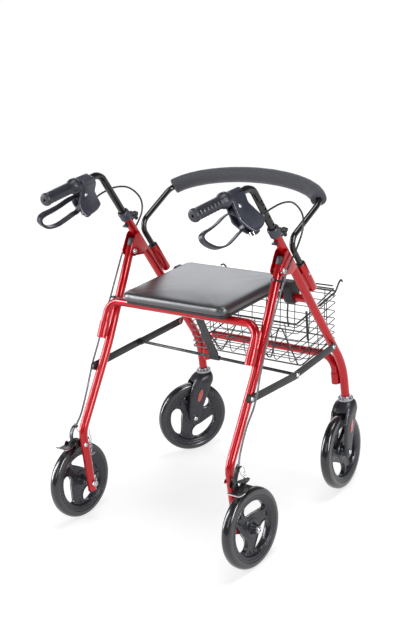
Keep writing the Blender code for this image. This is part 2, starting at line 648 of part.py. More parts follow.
def braces():
    # The right brace rests a little further over centre than the left one.
    for s, tag in ((1, "_r"), (-1, "_l")):
        middle = BRACE_C[s]
        front = bar("brace_front" + tag, middle, BRACE_F, s * 0.2530, s * 0.2555, 0.0100,
                    (BLACK, 0.4, 0.35))
        head = turned("head", [(0.2515, 0.0060), (0.2515, 0.0070), (0.2550, 0.0070),
                               (0.2595, 0.0060)],
                      (0, *BRACE_F), (s, 0, 0), None, 16, helper=True)
        combine(front, head, "UNION")
        rear = bar("brace_rear" + tag, BRACE_R, middle, s * 0.2562, s * 0.2587, 0.0100,
                   (BLACK, 0.4, 0.35))
        for spot, start in ((BRACE_R, 0.2515), (middle, 0.2570)):
            head = turned("head", [(start, 0.0070), (0.2580, 0.0070), (0.2625, 0.0060)],
                          (0, *spot), (s, 0, 0), None, 16, helper=True)
            combine(rear, head, "UNION")
    end = 0.2527
    tube("cross_rod", [Vector((s * end, *BRACE_C[s])) for s in (-1, 1)], 0.0040,
         (BLACK, 0.3, 0.4), 12)

    # Folding strap looped round the rod and up to the seat.
    a, b = Vector((0, *STRAP_LOW)), Vector((0, -0.0280, 0.5540))
    along = (b - a).normalized()
    thick = Vector((1, 0, 0)).cross(along)
    width = 0.0150
    outer, inner = 0.0066, 0.0046
    way = math.degrees(math.atan2(along.z, along.y))
    loop = arc(a.y, a.z, outer, way + 65, way + 295, 10)
    far = [(b - thick * 0.0011), (b + thick * 0.0011)]
    near = a + along * 0.016
    outline = loop + [((near - thick * 0.0011).y, (near - thick * 0.0011).z),
                      (far[0].y, far[0].z), (far[1].y, far[1].z),
                      ((near + thick * 0.0011).y, (near + thick * 0.0011).z)]
    strap = plate("fold_strap", outline, -width, width, (BLACK, 0, 0.8))
    eye = turned("eye", [(-0.03, inner), (0.03, inner)], a, (1, 0, 0), None, 16, helper=True)
    combine(strap, eye, "DIFFERENCE")


# ---------------------------------------------------------- seat and basket
def rounded(half_x, y0, y1, r, steps=6):
    pts = []
    for cx, cy, start in ((half_x - r, y1 - r, 0), (-half_x + r, y1 - r, 90),
                          (-half_x + r, y0 + r, 180), (half_x - r, y0 + r, 270)):
        for k in range(steps + 1):
            w = math.radians(start + 90 * k / steps)
            pts.append((cx + r * math.cos(w), cy + r * math.sin(w)))
    return pts


def seat():
    board = slab("seat_board", rounded(0.1610, -0.1060, 0.1540, 0.016), 0.5602, 0.5682,
                 (BLACK, 0, 0.5))
    bevel(board, 0.002, 1)
    pad = slab("seat_pad", rounded(0.1670, -0.1130, 0.1600, 0.022), 0.5685, SEAT_Z,
               (BLACK, 0, 0.5))
    bevel(pad, 0.008, 3)
    # Clips that hang the seat on the upper cross tube.
    outline = [(0.1240, 0.5290), (0.1330, 0.5225), (0.1510, 0.5225), (0.1600, 0.5290),
               (0.1600, 0.5720), (0.1520, 0.5800), (0.1300, 0.5800), (0.1210, 0.5700)]
    for s in (1, -1):
        clip = plate("clip", outline, s * 0.1674, s * 0.1930, None, helper=True)
        bevel(clip, 0.002, 1)
        bore = turned("hole", [(0.1, CROSS_R + 0.0004), (0.22, CROSS_R + 0.0004)],
                      (0, *HINGE_TUBE), (s, 0, 0), None, 24, helper=True)
        combine(clip, bore, "DIFFERENCE")
        tab = block("tab", (s * 0.1500, 0.1250, 0.5612), (s * 0.1720, 0.1480, 0.5672), None,
                    helper=True)
        combine(board, tab, "UNION")
        combine(board, clip, "UNION")


def basket():
    wall, half = 0.003, 0.182
    shell = [(0.1530, 0.3480), (0.3120, 0.3672), (0.3360, 0.4880), (0.1460, 0.4610)]
    hollow = [(0.1562, 0.3514), (0.3094, 0.3699), (0.3380, 0.5150), (0.1475, 0.4900)]
    tub = plate("basket", shell, -half, half, (BLACK, 0.3, 0.4))
    space = plate("space", hollow, -half + wall, half - wall, None, helper=True)
    combine(tub, space, "DIFFERENCE")


side_frames()
cross_tubes()
backrest()
handles()
cables()
rear_wheels()
casters()
braces()
seat()
basket()


# ------------------------------------------------------------------ pivots
def hang(name, at, *parts):
    """An empty on a joint's axis, carrying the parts that move with it."""
    empty = bpy.data.objects.new(name, None)
    empty.empty_display_size = 0.03
    empty.location = at
    PARTS.objects.link(empty)
    bpy.context.view_layer.update()
    for part in parts:
        child = bpy.data.objects[part]
        child.parent = empty
        child.matrix_parent_inverse = empty.matrix_world.inverted()
    return empty


hang("fold_axis", (0, *PIVOT), "rear_leg_r", "rear_leg_l", "leg_cap_r", "leg_cap_l", "seat_tube",
     "rear_axle_r", "rear_axle_l", "brake_cable_lower_r", "brake_cable_lower_l")
hang("seat_axis", (0, *HINGE_TUBE), "seat_board", "seat_pad")
hang("front_brace_axis", (0, *BRACE_F), "brace_front_r", "brace_front_l", "cross_rod")
hang("rear_brace_axis", (0, *BRACE_R), "brace_rear_r", "brace_rear_l")
hang("strap_axis", (0, *STRAP_LOW), "fold_strap")
hang("backrest_slide", (0, *SOCKET_TOP), "backrest_tube", "backrest_pad")
for s, tag in ((1, "_r"), (-1, "_l")):
    hang("handle_slide" + tag, (s * FRAME_X, *LEG_TOP), "handle_tube" + tag, "grip" + tag,
         "brake_housing" + tag, "brake_cable_upper" + tag)
    hang("lever_axis" + tag, (s * GRIP_X, LEVER_PIVOT[0], grip_z(LEVER_PIVOT[0]) + LEVER_PIVOT[1]),
         "brake_lever" + tag)
    hang("knob_axis" + tag, (s * FRAME_X, *move(LEG_TOP, LEG_DIR, 0.034)), "height_knob" + tag)
    hang("brake_axis" + tag, (s * FRAME_X, *BRAKE_PIVOT), "brake_arm" + tag)
    hang("rear_wheel_axis" + tag, (s * REAR_X, REAR_Y, WHEEL_R), "rear_rim" + tag,
         "rear_tyre" + tag)
    hang("caster_axis" + tag, (s * FRAME_X, STEM_Y, 0), "caster_fork" + tag,
                  "caster_axle" + tag, "stem_ring" + tag)
    hub = (s * FRAME_X + TRAIL * math.sin(SWIVEL[s]), STEM_Y - TRAIL * math.cos(SWIVEL[s]), WHEEL_R)
    hang("front_wheel_axis" + tag, hub, "front_rim" + tag, "front_tyre" + tag)
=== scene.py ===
"""Looks of the rollator walker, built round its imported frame.

Metres, in the frame's own axes: +Z up, +Y the way the walker is pushed, +X to the right.
Pieces ending in _r are on +X, and each has a mirrored twin ending in _l.
"""
import json
import math

import bmesh
import bpy
from mathutils import Matrix, Vector, noise

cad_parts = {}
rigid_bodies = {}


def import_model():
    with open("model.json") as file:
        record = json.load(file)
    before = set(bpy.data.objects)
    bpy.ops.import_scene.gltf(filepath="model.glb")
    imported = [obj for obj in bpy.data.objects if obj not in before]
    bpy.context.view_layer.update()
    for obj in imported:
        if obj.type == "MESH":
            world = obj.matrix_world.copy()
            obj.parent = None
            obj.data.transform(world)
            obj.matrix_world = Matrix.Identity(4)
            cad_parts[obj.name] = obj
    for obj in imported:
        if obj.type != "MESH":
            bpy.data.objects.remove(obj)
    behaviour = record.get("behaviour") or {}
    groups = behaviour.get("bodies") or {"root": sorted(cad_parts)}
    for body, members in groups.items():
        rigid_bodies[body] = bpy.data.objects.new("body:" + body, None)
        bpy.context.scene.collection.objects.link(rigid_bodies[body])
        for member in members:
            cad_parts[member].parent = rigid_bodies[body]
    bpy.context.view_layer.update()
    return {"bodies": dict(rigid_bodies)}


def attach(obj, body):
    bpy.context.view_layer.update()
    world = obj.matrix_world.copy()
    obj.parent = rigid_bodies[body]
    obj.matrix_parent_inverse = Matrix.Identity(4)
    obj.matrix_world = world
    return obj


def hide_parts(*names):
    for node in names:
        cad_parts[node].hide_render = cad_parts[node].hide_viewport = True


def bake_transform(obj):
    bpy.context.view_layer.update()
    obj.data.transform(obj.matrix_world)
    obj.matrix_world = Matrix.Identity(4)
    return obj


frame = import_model()

# ---------------------------------------------------------------- dimensions
FRAME_X = 0.240                  # centre plane of each side frame
LEG_R = 0.0111                   # leg tubes
LEG_BORE = 0.0100                # bore of the front leg
CROSS_R = 0.0105                 # cross tubes
HANDLE_R = 0.0094                # sliding handle tube
BACK_R = 0.0075                  # backrest tube
PAD_R = 0.0203                   # backrest foam
WHEEL_R = 0.100
TYRE_W = 0.0130                  # half width of a tyre
RIM_R = 0.0835
REAR_WHEEL = (0.282, -0.240)     # x, y of the right rear wheel's centre
STEM_Y = 0.2504
TRAIL = 0.051
SWIVEL = {1: math.radians(7.7), -1: math.radians(-28.5)}
LEG_TOP = (0.0156, 0.758)        # y, z
LEG_DIR = (0.474, -0.8805)       # down the front leg
LEG_OUT = (0.8805, 0.474)        # square to it, forward
LEG_IN = (-0.8805, -0.474)       # square to it, backward
PIVOT = (0.0215, 0.6535)
REAR_DIR = (0.5170, 0.8560)      # up the rear leg
HINGE_TUBE = (0.142, 0.538)
BRAKE_PIVOT = (-0.2490, 0.2140)
BRACE_R = (-0.1528, 0.392)
BRACE_C = {1: (0.0308, 0.3820), -1: (0.0308, 0.3934)}
BRACE_F = (0.1961, 0.3938)
ROLL = math.radians(21)          # outward lean of housings and levers
GRIP_X = 0.2325
LEVER_PIVOT = (-0.118, -0.0265)
SOCKET_TOP = (0.1100, 0.6416)
SEAT_BEND = (-0.1275, 0.4640)    # y, z where the seat tube meets the rear leg
SEAT_BEND_UP = (0.52, 0.854)     # up the leg there
GAP = 0.0003                     # between pieces that touch
CABLE_MOUTH = (0.2665, -0.0535, 0.8120)   # where the cable leaves the housing
CABLE_AHEAD = (0.2670, -0.020, 0.8190)    # the next point on its route
CABLE_JOINT = (0.2645, 0.0225, 0.6548)    # where the upper cable ends at the fold
NUT_AT = 0.034                   # clamp screw, down the front leg from its mouth
SIDES = ((1, "_r"), (-1, "_l"))
LIGHTER = 1.35                   # mottling of a moulded plastic
SHARP = 38.0                     # degrees, edges sharper than this stay crisp

# Camera, fitted to the photograph.
CAMERA_ANGLES = (41.1507, 19.3514, -6.8672)   # degrees: round, up and roll
CAMERA_AIM = (0.007, 0.0161, 0.5174)
CAMERA_DISTANCE = 3.3872
LENS_MM = 77.48
SENSOR_MM = 36

# Studio.
FLOOR_HALF = 60.0
FLOOR_GLOW = 0.74
WORLD_LIGHT = 0.22
SUN_STRENGTH = 1.05
SUN_SOFTNESS = 24                # degrees
# Name, place, aim, watts, width, height and whether it lights matt surfaces.
LAMPS = (("soft_left", (-2.6, -1.8, 1.5), (0, 0, 0.45), 120, 0.75, 2.4, False),
         ("soft_right", (2.7, -0.6, 1.6), (0, 0, 0.45), 90, 0.60, 2.2, False),
         ("soft_back", (-1.6, 2.2, 1.5), (0, 0, 0.5), 17, 2.2, 1.0, True),
         ("fill", (0.5, -3.0, 2.0), (0, 0, 0.5), 18, 1.6, 1.6, True))


def mm(*rows):
    """Rows of millimetres as a list of tuples of metres."""
    return [tuple(value / 1000 for value in row) for row in rows]


def flat(a, b):
    """Corners of a rectangle, from half its sides in millimetres."""
    return mm((-a, -b), (a, -b), (a, b), (-a, b))


# ----------------------------------------------------------------- materials
def shader(name, colour, rough, metal=0.0, coat=0.0, coat_rough=0.05, spec=0.5, sheen=0.0):
    mat = bpy.data.materials.new(name)
    mat.use_nodes = True
    bsdf = mat.node_tree.nodes["Principled BSDF"]
    values = {"Base Color": (*colour, 1), "Roughness": rough, "Metallic": metal,
              "Coat Weight": coat, "Coat Roughness": coat_rough,
              "Specular IOR Level": spec, "Sheen Weight": sheen}
    for key, value in values.items():
        bsdf.inputs[key].default_value = value
    return mat


def node(mat, kind, **inputs):
    made = mat.node_tree.nodes.new("ShaderNode" + kind)
    for key, value in inputs.items():
        made.inputs[key].default_value = value
    return made


def link(mat, out, into):
    mat.node_tree.links.new(out, into)


def place_vector(mat, stretch=(1, 1, 1)):
    """Object coordinates, stretched so that a pattern can run along one axis."""
    coords = node(mat, "TexCoord")
    mapping = node(mat, "Mapping", Scale=stretch)
    link(mat, coords.outputs["Object"], mapping.inputs["Vector"])
    return mapping.outputs["Vector"]


def noise_value(mat, scale, detail=3.0, rough=0.5, stretch=(1, 1, 1)):
    tex = node(mat, "TexNoise", Scale=scale, Detail=detail, Roughness=rough)
    link(mat, place_vector(mat, stretch), tex.inputs["Vector"])
    return tex.outputs["Fac"]


def cells(mat, scale):
    tex = node(mat, "TexVoronoi", Scale=scale)
    link(mat, place_vector(mat), tex.inputs["Vector"])
    return tex.outputs["Distance"]


def spread(mat, value, low, high, start=0.35, end=0.65):
    """A value mapped from start..end to low..high."""
    ramp = node(mat, "MapRange")
    for key, number in (("From Min", start), ("From Max", end), ("To Min", low),
                        ("To Max", high)):
        ramp.inputs[key].default_value = number
    link(mat, value, ramp.inputs["Value"])
    return ramp.outputs["Result"]


def tint(mat, value, first, second):
    """Base colour mixed from first to second by value."""
    mix = mat.node_tree.nodes.new("ShaderNodeMix")
    mix.data_type = "RGBA"
    mix.inputs[6].default_value = (*first, 1)
    mix.inputs[7].default_value = (*second, 1)
    link(mat, value, mix.inputs[0])
    link(mat, mix.outputs[2], mat.node_tree.nodes["Principled BSDF"].inputs["Base Color"])
    return mat


def rough_by(mat, value, low, high):
    bsdf = mat.node_tree.nodes["Principled BSDF"]
    link(mat, spread(mat, value, low, high), bsdf.inputs["Roughness"])
    return mat


def bump(mat, value, strength, distance):
    """Adds one more layer of bump to the material."""
    bsdf = mat.node_tree.nodes["Principled BSDF"]
    made = node(mat, "Bump", Strength=strength, Distance=distance)
    link(mat, value, made.inputs["Height"])
    before = bsdf.inputs["Normal"].links
    if before:
        link(mat, before[0].from_socket, made.inputs["Normal"])
    link(mat, made.outputs["Normal"], bsdf.inputs["Normal"])
    return mat


def red_paint():
    mat = shader("red_paint", (0.52, 0.001, 0.008), 0.30, 0.40, 0.80, 0.025, 0.10)
    tint(mat, spread(mat, noise_value(mat, 5.0), 0, 1), (0.58, 0.001, 0.008),
         (0.52, 0.001, 0.007))
    return rough_by(mat, noise_value(mat, 12.0), 0.27, 0.33)


def black_gloss():
    mat = shader("black_gloss", (0.004, 0.004, 0.005), 0.20, 0.0, 0.6, 0.04, 0.3)
    return rough_by(mat, noise_value(mat, 25.0), 0.17, 0.25)


def black_paint():
    mat = shader("black_paint", (0.016, 0.016, 0.017), 0.38, 0.2, 0.2, 0.2)
    tint(mat, spread(mat, noise_value(mat, 35.0), 0, 1), (0.013, 0.013, 0.014),
         (0.026, 0.026, 0.027))
    rough_by(mat, noise_value(mat, 80.0), 0.32, 0.46)
    return bump(mat, noise_value(mat, 1500.0), 0.12, 0.0002)


def moulded(name, colour, rough, grain=0.15):
    """Injection-moulded plastic with a fine eroded grain."""
    mat = shader(name, colour, rough, 0, 0.0, 0.3, 0.5)
    lighter = tuple(c * LIGHTER for c in colour)
    tint(mat, spread(mat, noise_value(mat, 22.0), 0, 1), colour, lighter)
    rough_by(mat, noise_value(mat, 140.0), rough - 0.05, rough + 0.08)
    bump(mat, noise_value(mat, 1700.0, 2.0), grain, 0.0003)
    return bump(mat, cells(mat, 900.0), grain * 0.6, 0.0002)


def rubber():
    mat = shader("tyre_rubber", (0.008, 0.008, 0.010), 0.22, 0, 0.6, 0.10, 0.5)
    tint(mat, spread(mat, noise_value(mat, 18.0), 0, 1), (0.007, 0.007, 0.010),
         (0.014, 0.014, 0.018))
    return rough_by(mat, noise_value(mat, 30.0), 0.19, 0.28)


def foam():
    mat = shader("foam", (0.066, 0.067, 0.078), 0.80, 0, 0, 0.3, 0.45, 0.35)
    tint(mat, spread(mat, noise_value(mat, 420.0, 4.0), 0, 1), (0.060, 0.061, 0.073),
         (0.098, 0.099, 0.116))
    bump(mat, cells(mat, 700.0), 0.45, 0.0006)
    return bump(mat, noise_value(mat, 60.0), 0.25, 0.0012)


def vinyl():
    mat = shader("seat_vinyl", (0.022, 0.021, 0.026), 0.38, 0, 0.45, 0.30, 1.0)
    tint(mat, spread(mat, noise_value(mat, 6.0), 0, 1), (0.019, 0.018, 0.023),
         (0.025, 0.024, 0.029))
    rough_by(mat, noise_value(mat, 8.0), 0.36, 0.40)
    return bump(mat, cells(mat, 900.0), 0.05, 0.0002)


def webbing():
    """Flat woven nylon: ribs along and across the strap, with painted shade in the grooves."""
    mat = shader("webbing", (0.014, 0.014, 0.015), 0.62, 0, 0, 0.3, 0.4, 0.25)
    waves = []
    for direction, scale in (("X", 260.0), ("Z", 190.0)):
        wave = node(mat, "TexWave", Scale=scale, Distortion=0.4, Detail=1.0)
        wave.bands_direction = direction
        link(mat, place_vector(mat), wave.inputs["Vector"])
        waves.append(wave.outputs["Fac"])
    # Painted shade: the colour follows the relief of the weave, darker in the grooves and
    # lighter on the ribs.
    tint(mat, waves[0], (0.008, 0.008, 0.009), (0.030, 0.030, 0.032))
    bump(mat, waves[0], 0.5, 0.0004)
    return bump(mat, waves[1], 0.4, 0.0003)


def plated(name="zinc_plate", colour=(0.42, 0.43, 0.46), rough=0.30):
    mat = shader(name, colour, rough, 1.0)
    darker = tuple(c * 0.72 for c in colour)
    tint(mat, spread(mat, noise_value(mat, 180.0), 0, 1), darker, colour)
    rough_by(mat, noise_value(mat, 300.0, 3.0, 0.5, (1, 1, 8)), rough - 0.08, rough + 0.14)
    return bump(mat, noise_value(mat, 900.0), 0.10, 0.0002)


def coated_wire():
    mat = shader("coated_wire", (0.012, 0.012, 0.014), 0.36, 0, 0.3, 0.2)
    rough_by(mat, noise_value(mat, 200.0), 0.30, 0.46)
    return bump(mat, noise_value(mat, 1200.0), 0.20, 0.0002)


def cable_skin(name, colour, rough):
    mat = shader(name, colour, rough, 0, 0.2, 0.2)
    tint(mat, spread(mat, noise_value(mat, 120.0), 0, 1), colour,
         tuple(c * 1.5 for c in colour))
    return bump(mat, noise_value(mat, 700.0), 0.12, 0.0002)


def reflector():
    """Red lens with a field of small prisms behind a glossy face."""
    mat = shader("reflector", (0.90, 0.06, 0.035), 0.18, 0, 1.0, 0.03, 0.7)
    grid = cells(mat, 520.0)
    tint(mat, spread(mat, grid, 0, 1, 0.1, 0.7), (0.95, 0.10, 0.06), (0.62, 0.02, 0.015))
    return bump(mat, grid, 0.5, 0.0006)


RED = red_paint()
GLOSS = black_gloss()
PAINT = black_paint()
CHAR = moulded("grip_plastic", (0.029, 0.030, 0.043), 0.36)
HOUSE = moulded("housing_plastic", (0.048, 0.051, 0.074), 0.34)
FORK = moulded("fork_plastic", (0.028, 0.029, 0.037), 0.30, 0.05)
RIM = moulded("rim_plastic", (0.022, 0.023, 0.031), 0.27, 0.04)
KNOB = moulded("knob_plastic", (0.018, 0.018, 0.021), 0.40)
CAP = moulded("cap_plastic", (0.060, 0.062, 0.068), 0.45)
TYRE = rubber()
FOAM = foam()
VINYL = vinyl()
BOARD = moulded("seat_board", (0.016, 0.016, 0.018), 0.55, 0.25)
WEB = webbing()
ZINC = plated()
STEEL = plated("bare_steel", (0.74, 0.74, 0.75), 0.20)
WIRE = coated_wire()
CABLE = cable_skin("cable_black", (0.010, 0.010, 0.011), 0.34)
SLEEVE = cable_skin("cable_grey", (0.11, 0.11, 0.12), 0.30)
LENS = reflector()


# --------------------------------------------------------------- mesh helpers
def piece(name, verts, faces, mat, sharp=SHARP, bevel=0.0, segments=2):
    """A named mesh from vertices and faces, shaded smooth except at sharp edges."""
    mesh = bpy.data.meshes.new(name)
    mesh.from_pydata([tuple(v) for v in verts], [], faces)
    bm = bmesh.new()
    bm.from_mesh(mesh)
    bmesh.ops.remove_doubles(bm, verts=bm.verts, dist=0.000005)
    bmesh.ops.dissolve_degenerate(bm, dist=0.000005, edges=bm.edges)
    bmesh.ops.recalc_face_normals(bm, faces=bm.faces)
    bm.to_mesh(mesh)
    bm.free()
    obj = bpy.data.objects.new(name, mesh)
    bpy.context.scene.collection.objects.link(obj)
    mesh.materials.append(mat)
    if bevel:
        mod = obj.modifiers.new("round", "BEVEL")
        mod.width = bevel
        mod.segments = segments
        mod.limit_method = "ANGLE"
        mod.angle_limit = math.radians(35)
        bake(obj)
    smooth(obj, sharp)
    return obj


def smooth(obj, sharp=SHARP):
    obj.data.shade_smooth()
    obj.data.set_sharp_from_angle(angle=math.radians(sharp))


def bake(obj):
    """Apply every modifier."""
    bpy.context.view_layer.update()
    graph = bpy.context.evaluated_depsgraph_get()
    made = bpy.data.meshes.new_from_object(obj.evaluated_get(graph))
    obj.modifiers.clear()
    obj.data = made
    return obj


def drop(obj):
    bpy.data.objects.remove(obj, do_unlink=True)


def cut(obj, tools):
    """Cuts every tool out of the piece exactly, and throws the tools away."""
    for tool in tools:
        mod = obj.modifiers.new("cut", "BOOLEAN")
        mod.solver = "EXACT"
        mod.operation = "DIFFERENCE"
        mod.object = tool
    bake(obj)
    for tool in tools:
        drop(tool)
    smooth(obj)
    return obj


def merge(name, parts):
    """Several meshes as one object that keeps each one's materials."""
    verts, faces, mats, chosen, flags = [], [], [], [], []
    for part in parts:
        base = len(verts)
        verts += [part.matrix_world @ v.co for v in part.data.vertices]
        for face in part.data.polygons:
            faces.append([base + i for i in face.vertices])
            mat = part.data.materials[face.material_index]
            if mat not in mats:
                mats.append(mat)
            chosen.append(mats.index(mat))
            flags.append(face.use_smooth)
    mesh = bpy.data.meshes.new(name)
    mesh.from_pydata([tuple(v) for v in verts], [], faces)
    for mat in mats:
        mesh.materials.append(mat)
    mesh.polygons.foreach_set("material_index", chosen)
    obj = bpy.data.objects.new(name, mesh)
    bpy.context.scene.collection.objects.link(obj)
    for part in parts:
        drop(part)
    smooth(obj)
    return obj


def fillet(points, radii, steps=14):
    """Round the inner corners of a polyline."""
    out = [Vector(points[0])]
    for i in range(1, len(points) - 1):
        here, r = Vector(points[i]), radii[i - 1]
        a = (Vector(points[i - 1]) - here).normalized()
        b = (Vector(points[i + 1]) - here).normalized()
        half = a.angle(b) / 2
        if r <= 0 or half > math.pi / 2 - 0.01:
            out.append(here)
            continue
        reach = r / math.tan(half)
        centre = here + (a + b).normalized() * (r / math.sin(half))
        p, q = here + a * reach - centre, here + b * reach - centre
        turn = math.pi - 2 * half
        for k in range(steps + 1):
            w = turn * k / steps
            out.append(centre + (p * math.sin(turn - w) + q * math.sin(w)) / math.sin(turn))
    out.append(Vector(points[-1]))
    return out


def smooth_path(points, count):
    """Catmull-Rom curve through the points."""
    pts = [Vector(p) for p in points]
    pts = [pts[0] * 2 - pts[1]] + pts + [pts[-1] * 2 - pts[-2]]
    spans = len(pts) - 3
    out = []
    for k in range(count + 1):
        u = spans * k / count
        i = min(int(u), spans - 1)
        t = u - i
        a, b, c, d = pts[i:i + 4]
        out.append(0.5 * (2 * b + (c - a) * t + (2 * a - 5 * b + 4 * c - d) * t * t
                          + (3 * b - a - 3 * c + d) * t ** 3))
    return out


def places(path, side=None, closed=False):
    """Point, two cross directions and tangent along a path."""
    found = []
    count = len(path)
    side = Vector(side) if side else None
    for i, p in enumerate(path):
        if closed:
            tangent = (path[(i + 1) % count] - path[i - 1]).normalized()
        else:
            tangent = (path[min(i + 1, count - 1)] - path[max(i - 1, 0)]).normalized()
        if side is None:
            side = tangent.orthogonal().normalized()
        side = (side - tangent * side.dot(tangent)).normalized()
        found.append((p, side, tangent.cross(side).normalized(), tangent))
    return found


def loft(name, rings, mat, closed=False, caps=True, sharp=SHARP, bevel=0.0):
    """Skin over rings that all have the same number of points."""
    sides, count = len(rings[0]), len(rings)
    verts = [v for r in rings for v in r]
    faces = []
    for i in range(count if closed else count - 1):
        j = (i + 1) % count
        for k in range(sides):
            m = (k + 1) % sides
            faces.append((i * sides + k, i * sides + m, j * sides + m, j * sides + k))
    if caps and not closed:
        faces.append(tuple(range(sides)))
        faces.append(tuple(range((count - 1) * sides, count * sides)))
    return piece(name, verts, faces, mat, sharp, bevel)


def circle(place, radius, sides, shift=0.0):
    p, a, b, t = place
    return [p + t * shift + a * radius * math.cos(2 * math.pi * k / sides)
            + b * radius * math.sin(2 * math.pi * k / sides) for k in range(sides)]


def ribbon(name, path, side, section, mat, closed=False, **finish):
    """A flat section of (across, up) pairs swept along a path."""
    rings = [[p + a * x + b * y for x, y in section]
             for p, a, b, _ in places(path, side=side, closed=closed)]
    return loft(name, rings, mat, closed, **finish)


def rod(name, path, radius, mat, sides=28, round_ends=0.0, bore=0.0, bore_from=None):
    """Round bar along a path, with eased ends.  bore hollows it from bore_from to the end."""
    spots = places([Vector(p) for p in path])
    ease = min(round_ends, radius * 0.9)
    rings = []
    if ease:
        rings.append(circle(spots[0], radius - ease, sides))
        rings.append(circle(spots[0], radius - ease * 0.3, sides, ease * 0.3))
        spots[0] = (spots[0][0] + spots[0][3] * ease, *spots[0][1:])
    rings += [circle(s, radius, sides) for s in (spots if not ease else spots[:-1])]
    if ease:
        last = spots[-1]
        rings.append(circle(last, radius, sides, -ease))
        rings.append(circle(last, radius - ease * 0.3, sides, -ease * 0.3))
        rings.append(circle(last, radius - ease, sides))
    if bore:
        rings += [circle(s, bore, sides) for s in reversed(spots[bore_from:])]
    return loft(name, rings, mat)


def turned(name, profile, origin, axis, mat, sides=48, loop=False, sharp=SHARP):
    """Solid of revolution from (distance along axis, radius) pairs."""
    axis = Vector(axis).normalized()
    a = axis.orthogonal().normalized()
    spot = (Vector(origin), a, axis.cross(a), axis)
    rings = [circle(spot, max(r, 0.000001), sides, h) for h, r in profile]
    return loft(name, rings, mat, closed=loop, sharp=sharp)


def plate(name, outline, lo, hi, mat, place=None, bevel=0.0, segments=2):
    """Outline in the y-z plane, thickened from x = lo to x = hi."""
    place = place or Matrix.Identity(4)
    n = len(outline)
    verts = [place @ Vector((x, y, z)) for x in (lo, hi) for y, z in outline]
    faces = [tuple(range(n)), tuple(range(2 * n - 1, n - 1, -1))]
    faces += [(k, (k + 1) % n, n + (k + 1) % n, n + k) for k in range(n)]
    return piece(name, verts, faces, mat, bevel=bevel, segments=segments)


def arc(cy, cz, radius, start, end, steps):
    return [(cy + radius * math.cos(math.radians(start + (end - start) * k / steps)),
             cz + radius * math.sin(math.radians(start + (end - start) * k / steps)))
            for k in range(steps + 1)]


def round_corners(outline, radius, steps=5):
    """A closed outline with every corner rounded."""
    out = []
    count = len(outline)
    for i in range(count):
        here = Vector(outline[i])
        a, b = Vector(outline[i - 1]) - here, Vector(outline[(i + 1) % count]) - here
        r = min(radius, a.length * 0.45, b.length * 0.45)
        p, q = here + a.normalized() * r, here + b.normalized() * r
        for k in range(steps + 1):
            t = k / steps
            out.append(tuple(p * (1 - t) ** 2 + here * 2 * t * (1 - t) + q * t * t))
    return out


def move(point, direction, distance):
    return (point[0] + direction[0] * distance, point[1] + direction[1] * distance)


def yz(x, points):
    return [Vector((x, y, z)) for y, z in points]


def bolt_head(name, origin, axis, radius, mat, height=0.0035, hexagon=False):
    """Domed button head with a socket, or a hexagon head with a washer under it."""
    if not hexagon:
        profile = [(0, radius * 0.99), (0, radius), (height * 0.35, radius),
                   (height * 0.75, radius * 0.86), (height, radius * 0.60),
                   (height, radius * 0.42), (height * 0.45, radius * 0.36),
                   (height * 0.45, 0.00001)]
        return turned(name, profile, origin, axis, mat, 32)
    axis = Vector(axis).normalized()
    washer = turned(name + "_washer", [(0, radius * 1.25), (0.0010, radius * 1.25)], origin,
                    axis, mat, 40)
    a = axis.orthogonal().normalized()
    spot = (Vector(origin), a, axis.cross(a), axis)
    rings = [circle(spot, radius, 6, 0.0008), circle(spot, radius, 6, height * 0.85),
             circle(spot, radius * 0.84, 6, height)]
    nut = loft(name + "_nut", rings, mat, sharp=25)
    stud = turned(name + "_stud", [(0, radius * 0.45), (height + 0.0012, radius * 0.45),
                                   (height + 0.0018, radius * 0.36)], origin, axis, mat, 24)
    return merge(name, [washer, nut, stud])


# --------------------------------------------------------------- riding along
def settle(obj, body, nodes=()):
    """Rides on a body and stands for CAD nodes, which it hides."""
    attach(obj, body)
    if nodes:
        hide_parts(*nodes)
    return obj


def twin(obj):
    """Mirrored copy on the left."""
    mesh = obj.data.copy()
    bm = bmesh.new()
    bm.from_mesh(mesh)
    for v in bm.verts:
        v.co.x = -v.co.x
    bmesh.ops.reverse_faces(bm, faces=bm.faces)
    bm.to_mesh(mesh)
    bm.free()
    made = bpy.data.objects.new(obj.name[:-2] + "_l", mesh)
    bpy.context.scene.collection.objects.link(made)
    return made


def both(obj, body, node_name=None):
    """A right piece and its twin.  body and node are named without _r and _l."""
    for each, tag in ((obj, "_r"), (twin(obj), "_l")):
        own = body + tag if body + tag in frame["bodies"] else body
        nodes = [node_name + tag] if node_name else []
        settle(each, own, nodes)
    return obj


# ---------------------------------------------------------------- side frames
def leg_tubes():
    corner = (STEM_Y, LEG_TOP[1] + LEG_DIR[1] * (STEM_Y - LEG_TOP[0]) / LEG_DIR[0])
    bore_end = move(LEG_TOP, LEG_DIR, 0.275)
    path = fillet(yz(FRAME_X, [(STEM_Y, 0.2365), corner, bore_end, LEG_TOP]), [0.18, 0], 26)
    both(rod("front_tube_r", path, LEG_R, RED, 36, bore=LEG_BORE, bore_from=len(path) - 2),
         "frame", "front_leg")

    top = move(PIVOT, REAR_DIR, 0.016)
    path = fillet(yz(FRAME_X, [top, (-0.108, 0.436), (-0.2425, 0.2470), (-0.240, 0.077)]),
                  [0.5, 0.060], 20)
    both(rod("rear_tube_r", path, LEG_R, RED, 36, 0.0012), "rear_frame", "rear_leg")

    low = move(PIVOT, REAR_DIR, 0.0163)
    cap = turned("rear_tube_cap_r",
                 mm((-4, 11.3), (-3.6, 11.6), (13, 11.6), (15.5, 10.4), (16.6, 8), (17, 4.5)),
                 (FRAME_X, *low), (0, *REAR_DIR), CAP, 40)
    both(cap, "rear_frame", "leg_cap")


